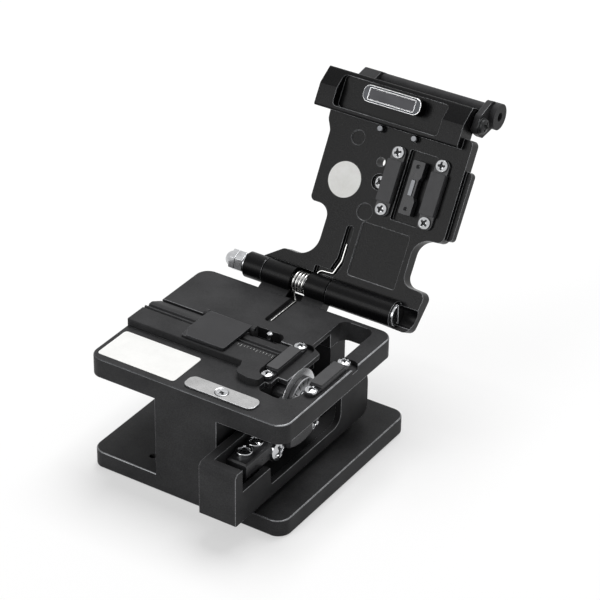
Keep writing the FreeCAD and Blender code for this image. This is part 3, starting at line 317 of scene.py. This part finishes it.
def newPiece(name, points, faces, node):
    # a smooth mesh in place at the origin, riding where its node rides and standing for it
    mesh = bpy.data.meshes.new(name)
    mesh.from_pydata(points.tolist(), [], faces)
    mesh.materials.append(finishOf[slotOf[node]])
    mesh.shade_smooth()
    piece = bpy.data.objects.new(name, mesh)
    bpy.context.scene.collection.objects.link(piece)
    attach(piece, bodyOf[node])
    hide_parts(node)
    return piece


def readAll(items, field, size, kind=float):
    # one property of all points, edges or faces, as rows of the given size
    values = np.zeros(len(items) * size, dtype=kind)
    items.foreach_get(field, values)
    return values.reshape(-1, size)


def nodePoints(node):
    return readAll(frame["nodes"][node].data.vertices, "co", 3)


def pieceName(node, ending):
    # lid_spring_leg becomes lidSpringLeg and the ending
    words = node.split("_")
    return words[0] + "".join(word.capitalize() for word in words[1:]) + ending


def turnedOutwards(piece, mergeMm=None, sharpDegrees=None):
    # a made mesh gets its doubles merged and its faces turned outwards, and keeps its sharper edges
    work = bmesh.new()
    work.from_mesh(piece.data)
    if mergeMm:
        bmesh.ops.remove_doubles(work, verts=work.verts, dist=mergeMm * mm)
    bmesh.ops.recalc_face_normals(work, faces=work.faces)
    work.to_mesh(piece.data)
    work.free()
    piece.data.shade_smooth()
    if sharpDegrees:
        piece.data.set_sharp_from_angle(angle=math.radians(sharpDegrees))


# castings and machined pieces: the width of the broken edge in millimetres and its finish, if it has its own. The
# pale anodised edge finishes paint a highlight along the edge
edgesOf = {
    "main_frame": (0.14, brokenEdge), "carriage": (0.12, paleEdge), "blade_arm": (0.07, smoothEdge),
    "fibre_guide": (0.04, smoothEdge), "guide_cover": (0.10, smoothEdge), "lid": (0.07, paleEdge),
    "grip_lever": (0.14, smoothEdge), "lower_clamp_left": (0.07, smoothEdge),
    "lower_clamp_right": (0.07, smoothEdge), "upper_clamp_left": (0.07, smoothEdge),
    "upper_clamp_right": (0.07, smoothEdge), "anvil_arm": (0.10, smoothEdge),
    "magnet_holder": (0.16, brightRim), "magnet": (0.08, brightRim), "strike_plate": (0.10, plated),
    "base_pad": (0.15, None), "lower_clamp_pads": (0.06, None), "upper_clamp_pads": (0.06, None),
    "hinge_lock_nut": (0.12, None), "acorn_nut": (0.12, None), "hinge_washer": (0.08, None),
    "lever_washer": (0.08, None), "hinge_shaft": (0.10, None), "index_post": (0.08, None),
    "stop_pins": (0.08, None), "index_hub": (0.06, None), "anvil_tip": (0.05, None),
    "front_label": (0.03, None), "round_label": (0.03, None), "linear_rail": (0.08, None),
    "rail_block": (0.15, None),
}
# edges shorter than this many millimetres stay sharp, because they crowd together, and so do the casting's
# round its hinge, further than this from its front
plainerEdges = {
    "main_frame": {"shortest": 0.8, "furthest": 54.2},
    "grip_lever": {"shortest": 0.6},
    "acorn_nut": {"shortest": 0.3},
    "hinge_lock_nut": {"shortest": 0.3},
}
# a copy's points join within mergeMm and its faces where they turn by less than flatDegrees. An edge that
# turns by more than sharpDegrees is broken
edgeWork = {"mergeMm": 0.002, "flatDegrees": 1.0, "sharpDegrees": 28, "segments": 2}


def softened(node, width, edgeFinish, look):
    # a merged copy of the node whose sharp edges are rounded over the given width
    triangles = readAll(frame["nodes"][node].data.polygons, "vertices", 3, int)
    piece = newPiece(pieceName(node, "Dressed"), nodePoints(node), triangles.tolist(), node)
    mesh = piece.data
    work = bmesh.new()
    work.from_mesh(mesh)
    bmesh.ops.remove_doubles(work, verts=work.verts, dist=look["mergeMm"] * mm)
    bmesh.ops.dissolve_degenerate(work, edges=work.edges, dist=look["mergeMm"] * mm)
    bmesh.ops.dissolve_limit(work, angle_limit=math.radians(look["flatDegrees"]), verts=work.verts,
                             edges=work.edges)
    work.to_mesh(mesh)
    work.free()
    mesh.shade_smooth()
    mesh.set_sharp_from_angle(angle=math.radians(look["sharpDegrees"]))
    chosen = readAll(mesh.edges, "use_edge_sharp", 1, bool)[:, 0]
    ends = readAll(mesh.edges, "vertices", 2, int)
    first, second = readAll(mesh.vertices, "co", 3)[ends].transpose(1, 0, 2)
    limits = plainerEdges.get(node, {})
    if "shortest" in limits:
        chosen &= np.linalg.norm(second - first, axis=1) >= limits["shortest"] * mm
    if "furthest" in limits:
        chosen &= np.maximum(first[:, 1], second[:, 1]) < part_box(node)[0].y + limits["furthest"] * mm
    weights = mesh.attributes.new("bevel_weight_edge", "FLOAT", "EDGE")
    weights.data.foreach_set("value", chosen.astype(np.float32))
    bevel = piece.modifiers.new("brokenEdge", "BEVEL")
    bevel.width = width * mm
    bevel.segments = look["segments"]
    bevel.limit_method = "WEIGHT"
    bevel.use_clamp_overlap = False
    bevel.harden_normals = True
    bevel.miter_outer = "MITER_ARC"
    # the bevel's faces take the edge finish, a painted edge highlight on the anodised pieces
    if edgeFinish:
        mesh.materials.append(edgeFinish)
        bevel.material = 1


for node, (width, edgeFinish) in edgesOf.items():
    softened(node, width, edgeFinish, edgeWork)
# three pieces look unlike the rest of their slot
# the magnet holder's flats are painted dark as a painted reflection of the lid
bpy.data.objects["magnetHolderDressed"].data.materials[0] = paintedReflectionFlat
bpy.data.objects["leverWasherDressed"].data.materials[0] = blackOxide
bpy.data.objects["gripLeverDressed"].data.materials[0] = anodisedBody


# the casting's own rounded top rims, in millimetres, which take the pale edge finishes as painted edge highlights.
# A face belongs to a rim when its middle is at most depth below the rim's top, its normal slants between the two
# limits and it turns right by more than the share. The deck's right side gets the palest painted highlight
castingRims = {
    "rims": [{"top": 35.9, "finish": smoothEdge, "rightward": -1},
             {"top": 35.9, "finish": brokenEdge, "rightward": 0.2},
             {"top": 5.4, "finish": paleEdge, "rightward": -1}],
    "depth": 0.5, "slant": (0.4, 0.97), "knuckle": 3.8,
}


def paleRims(piece, look):
    mesh = piece.data
    normals = readAll(mesh.polygons, "normal", 3)
    middles = readAll(mesh.polygons, "center", 3)
    slant, height = normals[:, 2], middles[:, 2]
    slanting = (slant > look["slant"][0]) & (slant < look["slant"][1])
    chosen = np.zeros(len(slant), dtype=np.int32)
    # each rim's faces take a pale finish as a painted edge highlight
    for rim in look["rims"]:
        mesh.materials.append(rim["finish"])
        near = (height < rim["top"] * mm) & (height > (rim["top"] - look["depth"]) * mm)
        chosen[slanting & near & (normals[:, 0] > rim["rightward"])] = len(mesh.materials) - 1
    # the hinge knuckles are turned, so they are as smooth as the lid's barrels beside them
    axle = jointOf["lid_hinge"]["pos_m"]
    knuckle = np.hypot(middles[:, 1] - axle[1], middles[:, 2] - axle[2]) < look["knuckle"] * mm
    mesh.materials.append(anodisedLid)
    chosen[knuckle] = len(mesh.materials) - 1
    mesh.polygons.foreach_set("material_index", chosen)


paleRims(bpy.data.objects["mainFrameDressed"], castingRims)

# the scale's lines are filled with pale paint: their floors face up and all lie at one height, in millimetres
scaleLines = {"height": 37.88, "within": 0.02, "upward": 0.99}


def paintedScale(piece, look):
    mesh = piece.data
    level = np.abs(readAll(mesh.polygons, "center", 3)[:, 2] - look["height"] * mm) < look["within"] * mm
    floor = level & (readAll(mesh.polygons, "normal", 3)[:, 2] > look["upward"])
    mesh.materials.append(bareSticker)
    mesh.polygons.foreach_set("material_index", floor.astype(np.int32) * (len(mesh.materials) - 1))
    print("scale lines:", int(floor.sum()))


paintedScale(bpy.data.objects["fibreGuideDressed"], scaleLines)

# the drum's side is anodised black: faces beyond this share of its radius whose normal has less than this
# share along the axle
drumSide = {"outside": 0.9, "axleward": 0.5}


def darkDrum(piece, look):
    mesh = piece.data
    low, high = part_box("index_hub")
    middles = readAll(mesh.polygons, "center", 3)
    radius = np.hypot(middles[:, 1] - (low.y + high.y) / 2, middles[:, 2] - (low.z + high.z) / 2)
    side = np.abs(readAll(mesh.polygons, "normal", 3)[:, 0]) < look["axleward"]
    side &= radius > look["outside"] * (high.y - low.y) / 2
    mesh.materials.append(anodisedArm)
    mesh.polygons.foreach_set("material_index", side.astype(np.int32))


darkDrum(bpy.data.objects["indexHubDressed"], drumSide)
print("edges broken on", len(edgesOf), "pieces")


# axes that screws stand along: the deck's own, the lid's, and the cross direction
lidNormal = np.array(jointOf["anvil_press"]["axis"])
across = np.array([1.0, 0.0, 0.0])
deckAxes = np.eye(3)
lidAxes = np.column_stack([across, np.cross(lidNormal, across), lidNormal])
sideAxes = np.column_stack([[0.0, 1.0, 0.0], [0.0, 0.0, 1.0], across])


def localBox(node, axes):
    points = nodePoints(node) @ axes
    return points.min(0), points.max(0)


def gridFaces(rows, columns):
    # quads of a rows x columns grid whose last column joins the first
    row, column = np.meshgrid(np.arange(rows - 1), np.arange(columns), indexing="ij")
    following = (column + 1) % columns
    first = row * columns + column
    return np.stack([first, row * columns + following, (row + 1) * columns + following,
                     (row + 1) * columns + column], axis=-1).reshape(-1, 4)


# radius and height of the head and radius of the shank in millimetres, the axes that the screws stand along,
# how many there are across and along the node's box, (0, 0) being a slanting pair, and how many degrees the
# cross is turned
screws = {
    "lower_clamp_screws": {"radius": 1.75, "height": 0.95, "shank": 0.8, "axes": deckAxes, "grid": (2, 2),
                           "turn": 20},
    "upper_clamp_screws": {"radius": 1.75, "height": 0.95, "shank": 0.8, "axes": lidAxes, "grid": (2, 2),
                           "turn": 75},
    "trim_screw": {"radius": 1.9, "height": 0.9, "shank": 0.8, "axes": lidAxes, "grid": (1, 1), "turn": 40},
    "height_screws": {"radius": 2.35, "height": 1.5, "shank": 1.15, "axes": deckAxes, "grid": (1, 2),
                      "turn": 30},
    "arm_screws": {"radius": 3.0, "height": 1.6, "shank": 1.48, "axes": sideAxes, "grid": (0, 0), "turn": 15},
    "lever_pivot_screw": {"radius": 2.1, "height": 1.2, "shank": 0.95, "axes": sideAxes, "grid": (1, 1),
                          "turn": 50},
    "blade_axle_screw": {"radius": 2.5, "height": 1.2, "shank": 1.48, "axes": sideAxes, "grid": (1, 1),
                         "turn": 25},
    "strike_screw": {"radius": 1.75, "height": 0.6, "shank": 0.9, "axes": deckAxes, "grid": (1, 1),
                     "turn": 45, "flat": True},
}
# what all the heads share. The dome ends and the rim begins at that share of the radius. The cross has blades
# of that half width and reach and a round heart, also shares of the radius, as are the widths over which they
# soften. The bow of the dome and the depth of the cross are shares of the height, fall is how much shallower
# a blade is at its end, and the entry after fall is the depth from which the cross is painted dark as shade in
# the recess. The shank's end is cut back over pointMm to the point's share of its radius. What is in
# millimetres says so in its name
headShape = {
    "dome": 0.86, "rim": 0.14, "bow": 0.42, "depth": 0.72, "fall": 0.45, "paintedShadeFrom": 0.3,
    "halfWidth": 0.15, "reach": 0.62, "heart": 0.30, "flankSoft": 0.05, "endSoft": 0.10, "heartSoft": 0.08,
    "flatBowMm": 0.02, "flatRimMm": 0.05, "flatSeat": 0.56, "flatDepth": 0.8,
    "pointMm": 0.15, "point": 0.7, "centre": 0.002, "centreMm": 0.001,
    "domeRings": 40, "rimRings": 9, "sides": 96, "nextTurn": 37,
}


def crossHead(look, shape, low, high, place):
    # radius r and angle t: a dome whose height falls with (r / R) squared, a rounded rim, then the side, the
    # seat and the shank. Inside the cross, where the nearer axis is closer than half the blade's width, the
    # dome sinks by the recess depth, smoothed over its flanks
    radius, height, shank = look["radius"], look["height"], look["shank"]
    bow, rimFall, depth, seat = height * shape["bow"], radius * shape["rim"], shape["depth"], radius
    if look.get("flat"):
        bow, rimFall, depth = shape["flatBowMm"], shape["flatRimMm"], shape["flatDepth"]
        seat = radius * shape["flatSeat"]
    length = (high[2] - low[2]) / mm - height
    inner = np.linspace(shape["centre"], shape["dome"], shape["domeRings"]) * radius
    rim = np.linspace(0, math.pi / 2, shape["rimRings"])[1:]
    top = -bow * (inner / radius) ** 2
    rimRadius = radius * shape["dome"] + radius * shape["rim"] * np.sin(rim)
    rimHeight = -bow * shape["dome"] ** 2 - rimFall * (1 - np.cos(rim))
    side = np.array([seat, shank, shank, shank * shape["point"], shape["centreMm"]])
    down = np.array([0, 0, shape["pointMm"] - length, -length, -length]) - height
    r = np.concatenate([inner, rimRadius, side])[:, None]
    z = np.concatenate([top, rimHeight, down])[:, None]
    angle = np.linspace(0, 2 * math.pi, shape["sides"], endpoint=False)[None, :]
    x = r * np.cos(angle)
    y = r * np.sin(angle)
    turn = math.radians(place["turn"])
    along = np.abs(x * math.cos(turn) + y * math.sin(turn))
    aside = np.abs(-x * math.sin(turn) + y * math.cos(turn))
    near, far = np.minimum(along, aside), np.maximum(along, aside)

    def inside(share, distance, soft):
        # 1 well inside the share of the radius, 0 well outside it, and a slope of the soft width between
        return np.clip((radius * share - distance) / (radius * soft) + 0.5, 0, 1)

    blades = inside(shape["halfWidth"], near, shape["flankSoft"])
    blades *= inside(shape["reach"], far, shape["endSoft"])
    heart = inside(shape["heart"], np.hypot(along, aside), shape["heartSoft"])
    slope = 1 - shape["fall"] * far / (radius * shape["reach"])
    onDome = np.arange(len(r))[:, None] < len(inner)
    sunk = np.where(onDome, np.maximum(blades * slope, heart) * height * depth, 0)
    local = np.stack([x, y, z - sunk], axis=-1).reshape(-1, 3) * mm + place["centre"]
    quads = gridFaces(len(r), shape["sides"])
    # faces deeper than this share of the height are painted dark as shade in the recess
    crossShade = sunk > shape["paintedShadeFrom"] * height
    return local @ look["axes"].T, quads, crossShade.reshape(-1)[quads].all(axis=1)


def screwSet(node, look, shape):
    # one head at each place of the grid in the node's box
    low, high = localBox(node, look["axes"])
    reach = look["radius"] * mm
    columns, rows = look["grid"]
    xs = [low[0] + reach, high[0] - reach]
    ys = [low[1] + reach, high[1] - reach]
    if (columns, rows) == (0, 0):
        spots = [(xs[0], ys[1]), (xs[1], ys[0])]
    else:
        xs = xs if columns == 2 else [sum(xs) / 2]
        ys = ys if rows == 2 else [sum(ys) / 2]
        spots = [(x, y) for x in xs for y in ys]
    points, faces, crosses = [], [], []
    for i, (x, y) in enumerate(spots):
        place = {"centre": np.array([x, y, high[2]]), "turn": look["turn"] + shape["nextTurn"] * i}
        head, quads, crossShade = crossHead(look, shape, low, high, place)
        faces.append(quads + sum(len(part) for part in points))
        points.append(head)
        crosses.append(crossShade)
    piece = newPiece(pieceName(node, "Turned"), np.concatenate(points), np.concatenate(faces).tolist(), node)
    # the faces deep in the cross take the black oxide finish as painted shade in the recess
    piece.data.materials.append(blackOxide)
    piece.data.polygons.foreach_set("material_index", np.concatenate(crosses).astype(np.int32))
    turnedOutwards(piece, mergeMm=0.004, sharpDegrees=40)


for node, look in screws.items():
    screwSet(node, look, headShape)
print("screws turned:", len(screws))


# wire springs: a round section carried along a path
wireShape = {"sides": 14, "endSize": 0.6, "capReach": 0.3}  # the last two are shares of the wire's radius


def wireTube(path, reference, radius, shape=wireShape):
    # at each path point the section is radius * (cos t, sin t) in the two directions square to the tangent,
    # the first of which is the tangent crossed with the reference direction. A cap point closes each end
    tangent = np.gradient(path, axis=0)
    tangent /= np.linalg.norm(tangent, axis=1)[:, None]
    first = np.cross(tangent, reference)
    first /= np.linalg.norm(first, axis=1)[:, None]
    second = np.cross(tangent, first)
    rows, sides = len(path), shape["sides"]
    angle = np.linspace(0, 2 * math.pi, sides, endpoint=False)
    size = np.ones(rows)
    size[[0, -1]] = shape["endSize"]
    ring = first[:, None] * np.cos(angle)[None, :, None] + second[:, None] * np.sin(angle)[None, :, None]
    points = path[:, None] + ring * size[:, None, None] * radius
    caps = path[[0, -1]] + tangent[[0, -1]] * [[-1], [1]] * radius * shape["capReach"]
    side = np.arange(sides)
    following = (side + 1) % sides
    last = (rows - 1) * sides
    start = np.stack([following, side, np.full(sides, rows * sides)], axis=-1)
    end = np.stack([last + side, last + following, np.full(sides, rows * sides + 1)], axis=-1)
    return np.concatenate([points.reshape(-1, 3), caps]), gridFaces(rows, sides), np.concatenate([start, end])


def rounded(corners, spread, steps):
    # the corner path sampled evenly by length, then averaged over a window, which rounds each bend
    corners = np.asarray(corners, dtype=float)
    lengths = np.concatenate([[0], np.cumsum(np.linalg.norm(np.diff(corners, axis=0), axis=1))])
    along = np.linspace(0, lengths[-1], steps)
    path = np.stack([np.interp(along, lengths, corners[:, i]) for i in range(3)], axis=-1)
    window = max(int(spread / (along[1] - along[0])) | 1, 3)
    padded = np.concatenate([np.repeat(path[:1], window // 2, 0), path, np.repeat(path[-1:], window // 2, 0)])
    weights = np.ones(window) / window
    return np.stack([np.convolve(padded[:, i], weights, "valid") for i in range(3)], axis=-1)


def wirePiece(node, parts):
    # several closed tubes in one piece
    points, faces = [], []
    count = 0
    for tube, quads, caps in parts:
        faces += (quads + count).tolist() + (caps + count).tolist()
        points.append(tube)
        count += len(tube)
    turnedOutwards(newPiece(pieceName(node, "Wound"), np.concatenate(points), faces, node))


def helix(start, end, centre, radius, turns, phase, steps):
    # x runs from start to end while the angle runs through the turns, at a steady radius round the centre
    share = np.linspace(0, 1, steps)
    angle = phase + share * turns * 2 * math.pi
    return np.stack([start + (end - start) * share, centre[0] + radius * np.sin(angle),
                     centre[1] + radius * np.cos(angle)], axis=-1)


hinge = jointOf["lid_hinge"]["pos_m"]
# millimetres. The leg's tip is this much of the node's front end. The leg leaves the coil's underside, bends
# after the forward length and is down at its slot's floor that far before the hinge's axis
lidSpring = {"wire": 0.33, "coil": 2.75, "turns": 4 + 59 / 360, "pitch": 1.0, "coilSteps": 340,
             "tip": 2.0, "forward": 1.6, "down": 4.5, "bend": 0.9, "legSteps": 120}


def makeLidSpring(look):
    low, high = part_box("lid_spring")
    wire, coil = look["wire"] * mm, look["coil"] * mm
    points = nodePoints("lid_spring")
    start = low.x + wire
    end = start + look["turns"] * look["pitch"] * mm
    coilPath = helix(start, end, hinge[1:], coil, look["turns"], math.pi, look["coilSteps"])
    # the lower leg leaves the coil's underside, bends down to the slot and runs forward along it
    tip = points[points[:, 1] < low.y + look["tip"] * mm]
    floorZ = tip[:, 2].min() + wire
    legX = tip[:, 0].mean()
    corners = [(start, hinge[1], hinge[2] - coil), (start, hinge[1] - look["forward"] * mm, hinge[2] - coil),
               (legX, hinge[1] - look["down"] * mm, floorZ), (legX, low.y + wire, floorZ)]
    leg = rounded(corners, look["bend"] * mm, look["legSteps"])
    wirePiece("lid_spring", [wireTube(coilPath, across, wire), wireTube(leg, across, wire)])


makeLidSpring(lidSpring)
# millimetres out from the hinge's axis at which the leg starts, ends its straight, crosses over and reaches
# its slot, and how far to the side the crossing's two ends are from the straight and from the slot
lidLeg = {"wire": 0.33, "bend": 0.9, "steps": 160, "start": 0.2, "straight": 4.0, "crossing": (4.7, 4.9),
          "aside": (1.0, 1.5), "slot": 9.0}


def makeLidLeg(look):
    # in lid directions the leg starts under the coil's end, runs out, crosses to its slot and lies in it
    points = nodePoints("lid_spring_leg") @ lidAxes
    low, high = points.min(0), points.max(0)
    axis = (np.array(hinge) @ lidAxes)[1]
    wire = look["wire"] * mm
    level = (low[2] + high[2]) / 2
    first, last = low[0] + wire, high[0] - wire
    corners = [(first, axis + look["start"] * mm, level), (first, axis + look["straight"] * mm, level),
               (first + look["aside"][0] * mm, axis + look["crossing"][0] * mm, level),
               (last - look["aside"][1] * mm, axis + look["crossing"][1] * mm, level),
               (last, axis + look["slot"] * mm, level), (last, high[1], level)]
    path = rounded(corners, look["bend"] * mm, look["steps"]) @ lidAxes.T
    wirePiece("lid_spring_leg", [wireTube(path, lidNormal, wire)])


makeLidLeg(lidLeg)
armSpring = {"wire": 0.3, "turns": 3.0, "steps": 200}


def makeArmSpring(look):
    low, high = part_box("arm_spring")
    wire = look["wire"] * mm
    coil = (high.y - low.y) / 2 - wire
    centre = ((low.y + high.y) / 2, (low.z + high.z) / 2)
    path = helix(low.x + wire, high.x - wire, centre, coil, look["turns"], math.pi / 2, look["steps"])
    wirePiece("arm_spring", [wireTube(path, across, wire)])


makeArmSpring(armSpring)
print("springs wound")


# blade: a thin lapped disc, both faces bevelled to the edge. Millimetres
blade = {"boss": 2.62, "ring": 2.0, "bevel": 0.9, "edge": 0.03, "segments": 240}


def makeBlade(look):
    # profile (x, r) turned round the axle: y = r cos t, z = r sin t
    low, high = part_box("blade_wheel")
    centre = np.array([(low.x + high.x) / 2, (low.y + high.y) / 2, (low.z + high.z) / 2])
    radius, half = (high.y - low.y) / 2, (high.x - low.x) / 2
    bevel = radius - look["bevel"] * mm
    ring = bevel - look["ring"] * mm
    boss, edge = look["boss"] * mm, look["edge"] * mm
    x = np.array([-half, -half, -half, -edge, edge, half, half, half, -half])[:, None]
    r = np.array([boss, ring, bevel, radius, radius, bevel, ring, boss, boss])[:, None]
    angle = np.linspace(0, 2 * math.pi, look["segments"], endpoint=False)
    turned = np.stack([x * np.ones_like(angle), r * np.cos(angle), r * np.sin(angle)], axis=-1)
    faces = gridFaces(len(x), len(angle)).tolist()
    piece = newPiece("bladeLapped", turned.reshape(-1, 3) + centre, faces, "blade_wheel")
    turnedOutwards(piece, mergeMm=0.0005, sharpDegrees=6)


makeBlade(blade)
print("blade turned")


# studio: pale floor, one large softbox overhead and a little behind, a weaker one from the front left
studio = {
    "floor": "#fdfdfd",
    "halfSide": 3.0,
    "showFloor": 0.5,  # how much of the floor is plain white where it is seen directly
    "world": 0.24,
    "aim": (0, 0, 0.03),
    "lamps": [
        {"at": (-0.02, 0.45, 1.1), "size": 0.7, "watts": 11.5},
        {"at": (-0.5, -1.2, 0.7), "size": 0.7, "watts": 6.4},
    ],
}


def seenDirectly(material):
    # 1 for camera, glossy and transmission rays, so that metal and glass show the same pale background
    rays = addNode(material, "ShaderNodeLightPath")
    pair = addNode(material, "ShaderNodeMath", {"operation": "MAXIMUM"},
                   {0: rays.outputs["Is Camera Ray"], 1: rays.outputs["Is Glossy Ray"]})
    return addNode(material, "ShaderNodeMath", {"operation": "MAXIMUM"},
                   {0: pair.outputs[0], 1: rays.outputs["Is Transmission Ray"]}).outputs[0]


def makeStudio(look):
    mesh = bpy.data.meshes.new("floor")
    half = look["halfSide"]
    corners = [(-half, -half, 0), (half, -half, 0), (half, half, 0), (-half, half, 0)]
    mesh.from_pydata(corners, [], [(0, 1, 2, 3)])
    floor = bpy.data.objects.new("floor", mesh)
    bpy.context.scene.collection.objects.link(floor)
    material = bpy.data.materials.new("paperFloor")
    material.use_nodes = True
    material.node_tree.nodes.clear()
    paper = addNode(material, "ShaderNodeBsdfDiffuse", {"Color": linear(look["floor"])})
    shown = addNode(material, "ShaderNodeEmission", {"Strength": 1.0})
    share = addNode(material, "ShaderNodeMath", {"operation": "MULTIPLY", 1: look["showFloor"]},
                    {0: seenDirectly(material)})
    mixed = addNode(material, "ShaderNodeMixShader", {},
                    {0: share.outputs[0], 1: paper.outputs[0], 2: shown.outputs[0]})
    addNode(material, "ShaderNodeOutputMaterial", {}, {"Surface": mixed.outputs[0]})
    mesh.materials.append(material)

    world = bpy.data.worlds.new("studio")
    world.use_nodes = True
    world.node_tree.nodes.clear()
    strength = addNode(world, "ShaderNodeMapRange", {"To Min": look["world"], "To Max": 1.0},
                       {"Value": seenDirectly(world)})
    light = addNode(world, "ShaderNodeBackground", {"Color": (1, 1, 1, 1)}, {"Strength": strength.outputs[0]})
    addNode(world, "ShaderNodeOutputWorld", {}, {"Surface": light.outputs[0]})
    bpy.context.scene.world = world

    for i, lamp in enumerate(look["lamps"]):
        data = bpy.data.lights.new("softbox" + str(i), "AREA")
        data.energy = lamp["watts"]
        data.size = lamp["size"]
        source = bpy.data.objects.new("softbox" + str(i), data)
        source.location = lamp["at"]
        source.rotation_euler = (Vector(lamp["at"]) - Vector(look["aim"])).to_track_quat("Z", "Y").to_euler()
        bpy.context.scene.collection.objects.link(source)


makeStudio(studio)
bpy.context.scene.view_settings.view_transform = "Standard"
print("studio lit")
